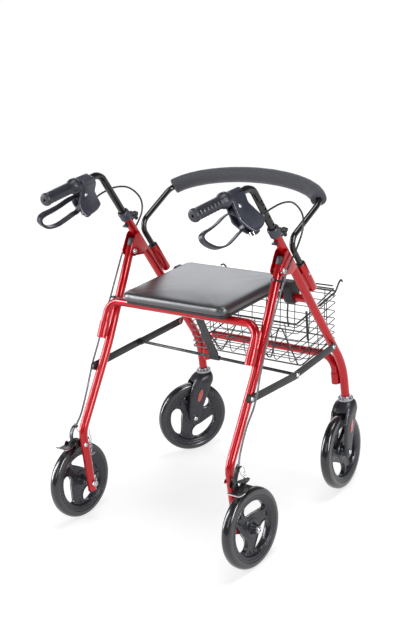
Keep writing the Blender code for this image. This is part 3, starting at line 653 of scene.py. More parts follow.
def hinge_brackets():
    """Two cheeks beside both tubes with a web between them, welded to the front tube."""
    axis_a, axis_b = move(LEG_TOP, LEG_DIR, 0.064), move(LEG_TOP, LEG_DIR, 0.126)
    outline = [axis_a, move(axis_a, LEG_IN, 0.0125)]
    outline += arc(*PIVOT, 0.0135, 158, 288, 18)
    outline += [move(axis_b, LEG_IN, 0.0245), axis_b]
    web_a, web_b = move(LEG_TOP, LEG_DIR, 0.098), move(LEG_TOP, LEG_DIR, 0.1245)
    web = [move(web_a, LEG_IN, LEG_R + GAP), move(web_b, LEG_IN, LEG_R + GAP),
           move(web_b, LEG_IN, 0.0140), move(web_a, LEG_IN, 0.0140)]
    parts = [plate("web", web, FRAME_X - 0.0145, FRAME_X + 0.0145, RED, bevel=0.0004)]
    for side in (-1, 1):
        ends = sorted((FRAME_X + side * 0.0137, FRAME_X + side * 0.0162))
        parts.append(plate("cheek", outline, *ends, RED, bevel=0.0007))
        # A weld bead down the front edge of each cheek.
        bead = [(FRAME_X + side * (0.0126 + 0.0003 * math.sin(k * 2.1)),
                 *move(axis_a, LEG_DIR, 0.004 + k * 0.0018)) for k in range(31)]
        parts.append(rod("bead", bead, 0.0021, RED, 10))
    both(merge("fold_bracket_r", parts), "frame", "hinge_bracket")

    heads = [bolt_head("head", (FRAME_X + 0.0163, *PIVOT), (1, 0, 0), 0.0070, STEEL, 0.0040),
             bolt_head("head", (FRAME_X - 0.0163, *PIVOT), (-1, 0, 0), 0.0068, STEEL,
                       0.0040),
             rod("shank", [(FRAME_X - 0.0163, *PIVOT), (FRAME_X + 0.0163, *PIVOT)], 0.0038,
                 STEEL, 20)]
    both(merge("fold_pin_r", heads), "frame", "fold_bolt")

    # A small rivet beside the pin.
    spot = move(PIVOT, REAR_DIR, -0.001)
    rivet = bolt_head("bracket_rivet_r", (FRAME_X + 0.0163, spot[0] - 0.0108, spot[1]),
                      (1, 0, 0), 0.0020, STEEL, 0.0012)
    both(rivet, "frame")


def tie(name, centre, along, reach, tail):
    """A cable tie: a flat band round a leg and the cable beside it, with its lock."""
    along = Vector(along).normalized()
    out = Vector((1, 0, 0))
    across = along.cross(out).normalized()
    path = []
    for k in range(40):
        w = 2 * math.pi * k / 40
        stretch = LEG_R + 0.0012 + (reach if math.cos(w) > 0 else 0) * math.cos(w) ** 2
        path.append(Vector(centre) + out * stretch * math.cos(w)
                    + across * (LEG_R + 0.0012) * math.sin(w))
    band = ribbon("band", path, along, flat(2.2, 0.6), KNOB, closed=True)
    lock_at = Vector(centre) - across * (LEG_R + 0.0030) + out * 0.004
    lock = loft("lock", [[lock_at + along * a + out * b + across * c for a, b in flat(3, 2.8)]
                         for c in (-0.002, 0.002)], KNOB, bevel=0.0005)
    end = [lock_at, lock_at + (tail - along * 0.001) * 0.5, lock_at + tail]
    rings = [[p + along * a + out * b for a, b in flat(1.5, 0.5)] for p in smooth_path(end, 6)]
    return merge(name, [band, lock, loft("tail", rings, KNOB)])


def ties():
    down = Vector((0, *REAR_DIR))
    spot = move(PIVOT, REAR_DIR, -0.026)
    settle(tie("cable_tie_r", (FRAME_X, *spot), down, 0.0150, Vector((0.006, 0.008, -0.008))),
           "rear_frame")
    spot = move(PIVOT, REAR_DIR, -0.128)
    band = tie("cable_tie_low_r", (FRAME_X, *spot), down, 0.0150, Vector((0.004, 0.010, -0.006)))
    left = twin(band)
    left.name = "cable_tie_l"
    drop(band)
    settle(left, "rear_frame")


def collars():
    """Plastic collar on the mouth of each front leg, with a lug for the clamp screw."""
    down = (0, *LEG_DIR)
    body = turned("collar", mm((-4.5, 10.8), (-4.5, 12.8), (-3.8, 13.8), (-1, 15), (4, 15.4),
                               (4.5, 14.8), (6, 14.6), (15, 15), (18.5, 15), (20.5, 14.3),
                               (21, 13.4), (21, 11.4), (-0.3, 11.4), (-0.3, 10.8)),
                  (FRAME_X, *LEG_TOP), down, HOUSE, 56, loop=True)
    both(body, "frame", "leg_collar")

    # The clamp screw's nut, a short dark cross-piece behind the leg.
    rear = Vector((0, *LEG_IN))
    seat = Vector((FRAME_X, *move(LEG_TOP, LEG_DIR, NUT_AT))) + rear * (LEG_R + 0.0002)
    parts = [turned("boss", mm((0, 5.8), (4.5, 5.6), (6.2, 4)), seat, rear,
                    KNOB, 24)]
    cross = [(seat + rear * 0.0055 + Vector((x, 0, 0))) for x in (-0.0085, 0, 0.0085)]
    parts.append(rod("wing", cross, 0.0032, KNOB, 16, 0.0016))
    both(merge("clamp_nut_r", parts), "frame")


def knobs():
    """Three-wing clamp knob in front of each leg."""
    forward = Vector((0, *LEG_OUT))
    seat = Vector((FRAME_X, *move(LEG_TOP, LEG_DIR, NUT_AT))) + forward * (LEG_R + 0.0006)
    parts = [turned("stem", mm((0, 5), (1, 5.6), (8.5, 6), (9, 7.8), (10, 8.6), (20, 8.6),
                               (22.8, 7.4), (24, 5), (24, 2.2), (22.5, 2), (22.5, 0.01)),
                    seat, forward, KNOB, 40)]
    side = Vector((1, 0, 0))
    up = forward.cross(side)
    for k in range(3):
        turn = math.radians(90 + 120 * k)
        out = side * math.cos(turn) + up * math.sin(turn)
        across = forward.cross(out)
        start = seat + forward * 0.0155
        rings = []
        for reach, high, wide in mm((2, 6.2, 5.2), (8, 5.8, 4.6), (12.5, 5.4, 4.6), (15, 4.6, 4),
                                    (16.3, 2.8, 2.4)):
            rings.append([start + out * reach + forward * high * math.cos(w)
                          + across * wide * math.sin(w)
                          for w in (2 * math.pi * i / 20 for i in range(20))])
        parts.append(loft("wing", rings, KNOB))
    both(merge("clamp_knob_r", parts), "knob", "height_knob")


def cross_tubes():
    corners = [(FRAME_X, *SEAT_BEND), (FRAME_X, -0.0775, 0.5495),
               (-FRAME_X, -0.0775, 0.5495), (-FRAME_X, *SEAT_BEND)]
    bar = rod("seat_bar", fillet(corners, [0.034, 0.034], 18), CROSS_R, RED, 36, 0.0010)
    parts = [bar]
    for s in (1, -1):
        low = Vector((s * FRAME_X, *SEAT_BEND))
        up = Vector((0, *REAR_DIR))
        parts.append(turned("sleeve", mm((-0.5, 10), (-0.5, 11.8), (0.3, 12.6), (42, 12.6),
                                         (43, 11.8), (43, 10)),
                            low, up, RED, 40))
        spot = move(SEAT_BEND, SEAT_BEND_UP, 0.020)
        out, along = (0.856, -0.517), REAR_DIR
        tab = [move(move(spot, along, far), out, high) for far, high in
               mm((-13, 4), (-13, 19.4), (13, 19.4), (13, 4))]
        parts.append(plate("tab", tab, s * FRAME_X - 0.003, s * FRAME_X + 0.003, RED,
                           bevel=0.0005))
    settle(merge("seat_bar", parts), "rear_frame", ["seat_tube"])

    x, y = 0.2165, 0.2475
    corners = [(x, y, 0.268), (x, y, 0.346), (-x, y, 0.346), (-x, y, 0.268)]
    parts = [rod("shelf", fillet(corners, [0.040, 0.040], 18), CROSS_R, RED, 36, 0.0010)]
    for s in (1, -1):
        parts.append(turned("sleeve", mm((-0.4, 10), (-0.4, 11.2), (0.4, 12), (30, 12),
                                         (30.8, 11.2), (30.8, 10)),
                            (s * x, y, 0.268), (0, 0, 1), RED, 40))
        ends = sorted((s * (x + 0.006), s * (FRAME_X - LEG_R - 0.0004)))
        tab = [(y - 0.003, 0.270), (y + 0.003, 0.270), (y + 0.003, 0.282), (y - 0.003, 0.282)]
        parts.append(plate("tab", tab, *ends, RED))
    settle(merge("shelf_bar", parts), "frame", ["basket_tube"])

    half = FRAME_X - LEG_R - GAP
    bar = rod("hinge_bar", [(-half, *HINGE_TUBE), (0, *HINGE_TUBE), (half, *HINGE_TUBE)],
              CROSS_R, RED, 36)
    settle(bar, "frame", ["hinge_tube"])


# ------------------------------------------------------------------ backrest
def bow(degrees):
    w = math.radians(degrees)
    return (0.2425 * math.sin(w), 0.1950 + 0.0855 * math.cos(w), 0.7635 + 0.0395 * math.cos(w))


def backrest():
    low = move(SOCKET_TOP, LEG_DIR, 0.090)
    spots = places(yz(FRAME_X, [low, move(SOCKET_TOP, LEG_DIR, 0.080), SOCKET_TOP]))
    rings = [circle(spots[0], r, 40, h) for h, r in
             mm((0, 4), (0.6, 8), (2.2, 10.8), (4.8, 12.2))]
    rings += [circle(spots[2], r, 40, h) for h, r in
              mm((-1, 12.2), (0, 11.5), (0, 8.5), (-76, 8.3))]
    tube = loft("socket", rings, RED)
    tab = [move(move(SOCKET_TOP, LEG_DIR, d), LEG_IN, w)
           for d, w in mm((20, 10), (74, 10), (74, 16.4), (20, 16.4))]
    weld = plate("weld", tab, FRAME_X - 0.004, FRAME_X + 0.004, RED, bevel=0.0006)
    both(merge("bow_socket_r", [tube, weld]), "frame", "backrest_socket")

    # Snap button on the outer face, and a dark plug at the socket's mouth.
    spot = move(SOCKET_TOP, LEG_DIR, 0.034)
    button = turned("snap_button_r", mm((-4, 3.4), (1.2, 3.4), (2.4, 2.6), (2.8, 1.2)),
                    (FRAME_X + 0.0118, *spot), (1, 0, 0), STEEL, 24)
    for each in (button, twin(button)):
        settle(each, "backrest")
    plug = turned("bow_plug_r", mm((-2.4, 7.8), (-2.4, 10.6), (-1.2, 11.8), (-0.2, 12),
                                   (-0.2, 7.8)),
                  (FRAME_X, *SOCKET_TOP), (0, *LEG_DIR), KNOB, 40, loop=True)
    both(plug, "frame")

    inside = move(SOCKET_TOP, LEG_DIR, 0.074)
    half = [(FRAME_X, *inside), (FRAME_X, 0.0737, 0.7090), bow(90)]
    angles = [84 - 6 * k for k in range(29)]
    corners = half + [bow(w) for w in angles] + [(-x, y, z) for x, y, z in reversed(half)]
    path = fillet(corners, [0.029] + [0] * (len(corners) - 4) + [0.029], 18)
    settle(rod("bow_tube", path, BACK_R, GLOSS, 32), "backrest", ["backrest_tube"])

    # Foam sleeve with soft ends, a little uneven along its length.
    spots = places([Vector(bow(76 - 2 * k)) for k in range(77)])
    rings = [circle(spots[0], r, 48, h) for h, r in
             ((0.0060, BACK_R + 0.0004), (0.0010, BACK_R + 0.0008), (0.0, 0.0110),
              (0.0, 0.0165), (0.0008, 0.0188), (0.0026, PAD_R - 0.0003))]
    for k, spot in enumerate(spots[1:-1]):
        swell = noise.noise(Vector((k * 0.31, 2.0, 5.0))) * 0.0004
        rings.append(circle(spot, PAD_R - 0.0001 + swell, 48))
    rings += [circle(spots[-1], r, 48, h) for h, r in
              ((-0.0026, PAD_R - 0.0003), (-0.0008, 0.0188), (0.0, 0.0165), (0.0, 0.0110),
               (-0.0010, BACK_R + 0.0008), (-0.0060, BACK_R + 0.0004))]
    pad = loft("bow_foam", rings, FOAM, caps=False)
    settle(pad, "backrest", ["backrest_pad"])


# ------------------------------------------------------- handles and levers
def grip_z(y):
    return 0.8745 + 0.08 * (y + 0.0955)


def lean(y):
    """The plane of the housing and lever: local x across, y and z in the plane."""
    return Matrix.Translation((GRIP_X + 0.001, 0, grip_z(y))) @ Matrix.Rotation(-ROLL, 4, "Y")


def handle_tube():
    corner = (FRAME_X, *move(LEG_TOP, LEG_DIR, -0.1365))
    end = Vector((GRIP_X, -0.250, grip_z(-0.250) + 0.004))
    path = fillet([(FRAME_X, *move(LEG_TOP, LEG_DIR, 0.200)), corner, end], [0.036], 24)
    tube = rod("sliding_tube_r", path, HANDLE_R, GLOSS, 36)
    holes = []
    for k in range(9):
        spot = move(LEG_TOP, LEG_DIR, -0.092 + 0.0254 * k)
        holes.append(turned("hole", [(0.006, 0.0031), (0.012, 0.0031)], (FRAME_X, *spot),
                            (1, 0, 0), KNOB, 16))
    both(cut(tube, holes), "handle", "handle_tube")
    return end, (end - path[-2]).normalized()


def grip(end, along):
    """Moulded grip: finger ridges outside and below, a collar in front and a flared end."""
    down = Vector((0.55, 0, -0.83))
    side = (down - along * down.dot(along)).normalized()
    other = along.cross(side)
    profile = mm((4.5, 3.5), (4.5, 12), (4, 14), (2.5, 15), (0, 16.1), (-3.5, 16.3), (-5, 15.8),
                 (-8, 15.2))
    profile += [(-0.0100 - 0.0009 * k, 0.0150) for k in range(81)]
    profile += [(-0.0860, 0.0153), (-0.0900, 0.0160), (-0.0940, 0.0176), (-0.0975, 0.0190),
                (-0.1005, 0.0196), (-0.1070, 0.0196), (-0.1100, 0.0190), (-0.1130, 0.0176),
                (-0.1140, 0.0160), (-0.1140, HANDLE_R + 0.0004), (0.0006, HANDLE_R + 0.0004),
                (0.0006, 0.0035)]
    pitch, sides, rings = 0.0118, 72, []
    for h, r in profile:
        ring = []
        for k in range(sides):
            w = 2 * math.pi * k / sides
            facing = max(0.0, math.cos(w) + 0.25) ** 0.5
            inside = -0.0830 < h < -0.0095 and r > 0.012
            wave = abs(math.sin(math.pi * (h + 0.010) / pitch)) ** 0.7 if inside else 1.0
            dip = (1 - wave) * 0.0026 * facing
            ring.append(end + along * h + side * (r - dip) * math.cos(w)
                        + other * (r - dip) * math.sin(w))
        rings.append(ring)
    both(loft("hand_grip_r", rings, CHAR, closed=True, sharp=50), "handle", "grip")


def housing(end, along):
    """Brake housing clamped on the tube, open below for the lever."""
    place = lean(-0.118)
    outline = mm((-134.5, 13.5), (-92, 15), (-82, -4), (-84, -26), (-51, -74), (-60, -87),
                 (-75, -93), (-97, -96), (-115, -81), (-134.5, -56), (-134.5, -13))
    shell = plate("shell", round_corners(outline, 0.006, 6), -0.0145, 0.0145, HOUSE, place,
                  bevel=0.0032, segments=4)
    slot = plate("slot", mm((-136, -13), (-106, -13), (-98, -26), (-72, -66), (-72, -120),
                            (-200, -120), (-200, -13)),
                 -0.0088, 0.0088, HOUSE, place)
    bore = rod("bore", [end - along * 0.19, end + along * 0.02], HANDLE_R + 0.0004, HOUSE, 36)
    vents = [plate("vent", [(-0.098 + 0.0058 * k, -0.0905), (-0.0946 + 0.0058 * k, -0.0905),
                            (-0.0946 + 0.0058 * k, -0.0840), (-0.098 + 0.0058 * k, -0.0840)],
                   0.012, 0.016, HOUSE, place) for k in range(3)]
    seam = plate("seam", mm((-140, 4), (-70, 4), (-70, 4.7),
                            (-140, 4.7)), 0.0138, 0.0150, HOUSE, place)
    cut(shell, [slot, bore, seam] + vents)

    # Raised side covers, a painted highlight (a thin bright strip) along the lower rear edge,
    # and the clip below.
    inner = mm((-129, 1), (-88, 2), (-88.5, -27), (-57.5, -74), (-64, -83), (-96, -90),
               (-111, -77.5), (-129, -53))
    parts = [shell]
    for s in (-1, 1):
        ends = sorted((s * 0.0138, s * 0.0153))
        parts.append(plate("cover", round_corners(inner, 0.005, 5), *ends, HOUSE, place,
                           bevel=0.0006))
        # Painted highlight: a thin bright zinc strip along the lower rear edge stands in for the
        # shine on that edge.
        lip = [place @ Vector((s * 0.0142, y, z)) for y, z in
               mm((-133, -50), (-131, -58.5), (-115, -79), (-98.5, -93.5))]
        parts.append(rod("lip", smooth_path(lip, 18), 0.0009, ZINC, 10))
    clip = mm((-98.5, -90), (-97.5, -100), (-90, -101.5), (-79, -97.5), (-80, -88), (-90, -85))
    parts.append(plate("clip", clip, -0.0110, 0.0100, KNOB, place, bevel=0.0010))
    for x in (-0.0060, 0.0045):
        spring = [place @ Vector((x, y, z)) for y, z in
                  mm((-98.5, -91.5), (-97.8, -100.3), (-90, -101.8))]
        parts.append(rod("spring", spring, 0.0008, STEEL, 8))
    pin = place @ Vector((0, *LEVER_PIVOT))
    across = (place.to_3x3() @ Vector((1, 0, 0))).normalized()
    parts.append(rod("pin", [pin - across * 0.0120, pin + across * 0.0120], 0.0030, ZINC, 20))
    both(merge("lever_housing_r", parts), "handle", "brake_housing")

    heads = [bolt_head("head", pin + across * s * 0.0150, across * s, 0.0050, STEEL, 0.0024)
             for s in (-1, 1)]
    both(merge("lever_screw_r", heads), "handle")

    # Barrel adjuster where the cable leaves the housing.
    mouth = Vector(CABLE_MOUTH)
    way = (Vector(CABLE_AHEAD) - mouth).normalized()
    barrel = turned("adjuster_r", mm((-19, 3), (-19, 4.6), (-15, 5), (-10.5, 5), (-10, 3.8),
                                     (-7, 3.8), (-6.6, 4.5), (1, 4.2), (4, 3.4), (4.4, 2.6)),
                    mouth, way, ZINC, 24)
    both(barrel, "handle")


def lever():
    """Loop lever: one band, thick at its tip, with the lug that turns on the pin."""
    place = lean(-0.118)
    line = mm((-124, -33), (-145, -32.5), (-168, -35), (-196, -42.5), (-223, -47), (-244, -49),
              (-256, -53.5), (-259, -61), (-254, -71.5), (-240, -84), (-222, -92.5),
              (-194, -95.8), (-165, -89.5), (-140, -82), (-126, -79), (-120, -68), (-119, -50))
    points = [place @ Vector((0, y, z)) for y, z in line]
    loop = smooth_path(points + [points[0]], 120)[:-1]
    axis = (place.to_3x3() @ Vector((1, 0, 0))).normalized()
    rings = []
    for p, side, up, _ in places(loop, side=axis, closed=True):
        y = p.y
        thick = 0.0019 + 0.0018 * max(0.0, min(1.0, (-0.200 - y) / 0.045))
        wide = 0.0076
        section = ((wide, 0.45), (wide * 0.93, 0.85), (wide * 0.72, 1.0), (wide * 0.3, 0.9),
                   (-wide * 0.3, 0.9), (-wide * 0.72, 1.0), (-wide * 0.93, 0.85),
                   (-wide, 0.45), (-wide, -0.45), (-wide * 0.93, -0.85), (-wide * 0.72, -1.0),
                   (-wide * 0.3, -0.9), (wide * 0.3, -0.9), (wide * 0.72, -1.0),
                   (wide * 0.93, -0.85), (wide, -0.45))
        rings.append([p + side * a + up * b * thick for a, b in section])
    band = loft("band", rings, CHAR, closed=True, sharp=50)
    lug = arc(*LEVER_PIVOT, 0.0085, 90, -60, 14) + mm((-123, -52), (-140, -33), (-130, -26))
    eye = plate("lug", lug, -0.0052, 0.0052, CHAR, place, bevel=0.0010)
    pin = place @ Vector((0, *LEVER_PIVOT))
    hole = rod("hole", [pin - axis * 0.02, pin + axis * 0.02], 0.0034, CHAR, 24)
    cut(eye, [hole])
    both(merge("loop_lever_r", [band, eye]), "lever", "brake_lever")


def cables():
    """The sheathed brake cables, on the same routes as their solids."""
    radius = 0.0024
    upper = [CABLE_MOUTH, CABLE_AHEAD, (0.2670, 0.030, 0.8200), (0.2640, 0.075, 0.8060),
             (0.2610, 0.108, 0.7700), (0.2600, 0.106, 0.7330), (0.2620, 0.075, 0.6980),
             (0.2640, 0.040, 0.6700), CABLE_JOINT]
    lower = mm((264.5, 20.5, 651.5), (264, 5, 630), (262, -37, 570), (262, -83, 500),
               (264, -120, 440), (266.8, -142.5, 402), (266.2, -160, 373), (261, -188, 333),
               (260.5, -218.5, 285), (265.5, -237, 259))
    for s, tag in SIDES:
        path = smooth_path([(s * x, y, z) for x, y, z in upper], 90)
        wire = rod("upper_cable" + tag, path, radius, CABLE, 16, 0.0008)
        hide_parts("brake_cable_upper" + tag)
        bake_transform(wire)
        path = smooth_path([(s * x, y, z) for x, y, z in lower], 90)
        wire = rod("lower_cable" + tag, path, radius, SLEEVE, 16, 0.0008)
        settle(wire, "rear_frame", ["brake_cable_lower" + tag])


# -------------------------------------------------------------------- wheels
WINDOW = [(-6, 0.0380), (-8, 0.0480), (-4, 0.0580), (6, 0.0650), (20, 0.0670), (40, 0.0672),
          (60, 0.0670), (74, 0.0655), (81, 0.0625), (82, 0.0570), (76, 0.0480),
          (66, 0.0395), (52, 0.0335), (36, 0.0300), (20, 0.0285), (6, 0.0300)]


def wheel_place(centre, axis, hand):
    """Local x along the axle, local y ahead, local z up."""
    axis = Vector(axis).normalized()
    up = Vector((0, 0, 1))
    ahead = up.cross(axis).normalized() * hand
    place = Matrix((axis, ahead, up)).transposed().to_4x4()
    place.translation = Vector(centre)
    return place


def rim(name, centre, axis, half_hub, hand, start):
    """Moulded wheel: stepped rim, disc with three teardrop windows between curved spokes."""
    side = [(0.0045, 0.0655), (0.0052, 0.0668), (0.0098, 0.0690), (0.0108, 0.0702),
            (0.0112, 0.0735), (0.0106, 0.0742), (0.0106, 0.0756), (0.0114, 0.0764),
            (0.0118, 0.0790), (0.0118, RIM_R)]
    hub = [(half_hub, 0.0053), (half_hub, 0.0094), (half_hub - 0.0010, 0.0106),
           (half_hub - 0.0030, 0.0112), (0.0110, 0.0128), (0.0074, 0.0150),
           (0.0066, 0.0196), (0.0062, 0.0236), (0.0046, 0.0250)]
    profile = [(-h, r) for h, r in hub] + [(-h, r) for h, r in side]
    profile += side[::-1] + hub[::-1]
    wheel = turned(name, profile, centre, axis, RIM, 72, loop=True)
    place = wheel_place(centre, axis, hand)

    def at(sweep, radius, third):
        w = math.radians(start - sweep + 120 * third)
        return (radius * math.cos(w), radius * math.sin(w))

    tools, ribs = [], []
    for k in range(3):
        hole = smooth_path([(0, *at(s, r, k)) for s, r in WINDOW + WINDOW[:1]], 64)[:-1]
        tools.append(plate("window", [(p.y, p.z) for p in hole], -0.02, 0.02, RIM, place))
        notch = [at(90, 0.0632, k), at(107, 0.0632, k), at(101, 0.0530, k)]
        for s in (-1, 1):
            tools.append(plate("notch", round_corners(notch, 0.0020, 4),
                               *sorted((s * 0.0022, s * 0.02)), RIM, place))
            grown = [place @ Vector((s * 0.0046, p.y * f, p.z * f)) for p in hole
                     for f in (1.0 + 0.0016 / max(math.hypot(p.y, p.z), 0.02),)]
            bead = ((-0.0012, -0.0013), (0.0010 * s, -0.0013), (0.0016 * s, 0),
                    (0.0010 * s, 0.0013), (-0.0012, 0.0013))
            ribs.append(ribbon("rib", grown, axis, bead, RIM, closed=True))
    cut(wheel, tools)
    return merge(name, [wheel] + ribs)


def tyre(name, centre, axis):
    edge = RIM_R + GAP
    half = [(0.0120, edge), (TYRE_W - 0.0002, 0.0850), (TYRE_W, 0.0875),
            (TYRE_W - 0.0004, 0.0890), (TYRE_W - 0.0004, 0.0902), (TYRE_W - 0.0003, 0.0920),
            (0.0118, 0.0952), (0.0096, 0.0976), (0.0068, 0.0992), (0.0034, 0.0999)]
    profile = [(-h, r) for h, r in half] + [(0, WHEEL_R)] + half[::-1]
    return turned(name, profile, centre, axis, TYRE, 96, loop=True, sharp=30)


def rear_wheels():
    for s, tag, start in ((1, "_r", -10), (-1, "_l", 27)):
        centre = (s * REAR_WHEEL[0], REAR_WHEEL[1], WHEEL_R)
        body = "rear_wheel" + tag
        settle(rim("rear_wheel" + tag, centre, (1, 0, 0), 0.0245, s, start), body,
               ["rear_rim" + tag])
        settle(tyre("rear_rubber" + tag, centre, (1, 0, 0)), body, ["rear_tyre" + tag])
        # Bearing shields either side of the hub.
        rings = [turned("bearing", mm((23.8, 4.8), (24.9, 5.2), (24.9, 8.8),
                                      (24, 9.4)), centre, (k, 0, 0), ZINC, 36, loop=True)
                 for k in (-1, 1)]
        settle(merge("rear_bearing" + tag, rings), body)

    y = REAR_WHEEL[1]
    parts = [rod("shaft", [(0.2230, y, WHEEL_R), (0.3075, y, WHEEL_R)], 0.0043, STEEL, 24),
             bolt_head("head", (0.3070, y, WHEEL_R), (1, 0, 0), 0.0070, STEEL, 0.0040),
             turned("spacer", mm((251.5, 6.6), (252, 7.2), (256, 7.2),
                                 (256.4, 6.6)), (0, y, WHEEL_R), (1, 0, 0), ZINC, 28)]
    # Castle nut on the inner end.
    nut = loft("nut", [circle((Vector((0.2286, y, WHEEL_R)), Vector((0, 1, 0)),
                               Vector((0, 0, 1)), Vector((-1, 0, 0))), r, 6, h)
                       for h, r in mm((0, 8.2), (4, 8.2), (4.8, 7))],
               STEEL, sharp=25)
    parts.append(nut)
    for k in range(6):
        w = math.radians(30 + 60 * k)
        spot = Vector((0.2238, y + 0.0054 * math.cos(w), WHEEL_R + 0.0054 * math.sin(w)))
        parts.append(rod("crown", [spot, spot - Vector((0.0026, 0, 0))], 0.0017, STEEL, 10,
                         0.0004))
    both(merge("rear_bolt_r", parts), "rear_frame", "rear_axle")

    plug = turned("rear_tube_plug_r", mm((-1, 8), (-1, 11.2), (0.8, 11.4), (2, 10.8), (2.4, 6)),
                  (FRAME_X, -0.240, 0.0790), (0, 0, -1), KNOB, 36)
    both(plug, "rear_frame")


def between(pairs, value):
    """Linear interpolation in (position, value) pairs."""
    for (a, u), (b, v) in zip(pairs, pairs[1:]):
        if value <= b:
            return u + (v - u) * (value - a) / (b - a)
    return pairs[-1][1]


def fork(name, place, hub, across):
    """Two arms running up into a round-shouldered head."""
    back = mm((100, -66.5), (133, -64), (175, -56), (200, -45), (212, -36), (220, -25),
              (223.5, -18))
    ahead = mm((100, -35.5), (133, -18), (175, 3), (196, 18), (206, 22), (214, 22), (221, 19.5),
               (223.5, 16))
    wide = mm((84, 23.8), (100, 24.8), (150, 25.4), (185, 27), (200, 29.2), (212, 28.5),
              (219.5, 25), (223.5, 20.5))
    levels = [0.0846, 0.0852, 0.0864, 0.0885, 0.0915, 0.0955]
    levels += [0.100 + 0.0033 * k for k in range(36)] + [0.2170, 0.2192, 0.2212, 0.2226, 0.2235]
    rings = []
    for z in levels:
        if z < 0.100:
            half = math.sqrt(max(0.0155 ** 2 - (z - 0.100) ** 2, 0.0))
            y0, y1 = -TRAIL - half, -TRAIL + half
        else:
            y0, y1 = between(back, z), between(ahead, z)
        power = 7.0 - 4.2 * max(0.0, min(1.0, (z - 0.165) / 0.045))
        ring = []
        for k in range(48):
            w = 2 * math.pi * k / 48
            c, s = math.cos(w), math.sin(w)
            x = between(wide, z) * math.copysign(abs(c) ** (2 / power), c)
            y = (y0 + y1) / 2 + (y1 - y0) / 2 * math.copysign(abs(s) ** (2 / power), s)
            ring.append(place @ Vector((x, y, z)))
        rings.append(ring)
    body = loft(name, rings, FORK)
    disc = turned("gap", [(-0.0186, 0.1055), (0.0186, 0.1055)], hub, across, FORK, 72)
    hole = turned("hole", [(-0.05, 0.0048), (0.05, 0.0048)], hub, across, FORK, 24)
    cut(body, [disc, hole])
    rings = []
    for s in (-1, 1):
        boss = turned("boss", mm((23.6, 10.5), (25.2, 10.3), (25.8, 9.2), (25.8, 5),
                                 (23.6, 5)), hub, across * s, FORK, 40,
                      loop=True)
        rings.append(boss)
    return merge(name, [body] + rings)


def casters():
    for s, tag, start in ((1, "_r", 26), (-1, "_l", 33)):
        turn = SWIVEL[s]
        trail = Vector((math.sin(turn), -math.cos(turn), 0))
        across = Vector((math.cos(turn), math.sin(turn), 0))
        stem = Vector((s * FRAME_X, STEM_Y, 0))
        hub = stem + trail * TRAIL + Vector((0, 0, WHEEL_R))
        wheel = "front_wheel" + tag
        settle(rim(wheel, hub, across, 0.0178, s, start), wheel, ["front_rim" + tag])
        settle(tyre("front_rubber" + tag, hub, across), wheel, ["front_tyre" + tag])

        place = Matrix((across, -trail, Vector((0, 0, 1)))).transposed().to_4x4()
        place.translation = stem
        own = "caster" + tag
        settle(fork("fork" + tag, place, hub, across), own, ["caster_fork" + tag])

        # Oval reflector high on each arm.
        spots = []
        for k in (-1, 1):
            centre = place @ Vector((k * 0.0254, -0.0285, 0.1640))
            long = (place.to_3x3() @ Vector((0, 0.42, 0.91))).normalized()
            short = across.cross(long)
            rings = [[centre + across * k * h + long * (0.0180 - i) * math.cos(w)
                      + short * (0.0060 - i) * math.sin(w)
                      for w in (2 * math.pi * j / 40 for j in range(40))]
                     for h, i in mm((-1, 0), (1.2, 0), (1.6, 0.6), (1.7, 2.2))]
            spots.append(loft("lens", rings, LENS))
        settle(merge("fork_reflector" + tag, spots), own)

        parts = [rod("shaft", [hub - across * 0.0262, hub + across * 0.0262], 0.0043, STEEL, 24)]
        for k in (-1, 1):
            parts.append(bolt_head("head", hub + across * k * 0.0259, across * k, 0.0062,
                                   STEEL, 0.0034, hexagon=k == -1))
        settle(merge("fork_bolt" + tag, parts), own, ["caster_axle" + tag])
        ring = turned("washer", mm((223.6, 9.5), (223.6, 19), (224.6, 20.2), (230, 20.2),
                                   (230.6, 19.2), (231, 16), (236.2, 15),
                                   (236.2, 9.5)), stem, (0, 0, 1), ZINC, 60)
        teeth = [ring]
        for k in range(12):
            w = 2 * math.pi * k / 12
            out = Vector((math.cos(w), math.sin(w), 0))
            foot = stem + out * 0.0172 + Vector((0, 0, 0.2295))
            teeth.append(rod("tooth", [foot, foot + Vector((0, 0, 0.0036))], 0.0027, ZINC, 12,
                             0.0008))
        ring = merge("stem_washer" + tag, teeth)
        settle(ring, own, ["stem_ring" + tag])


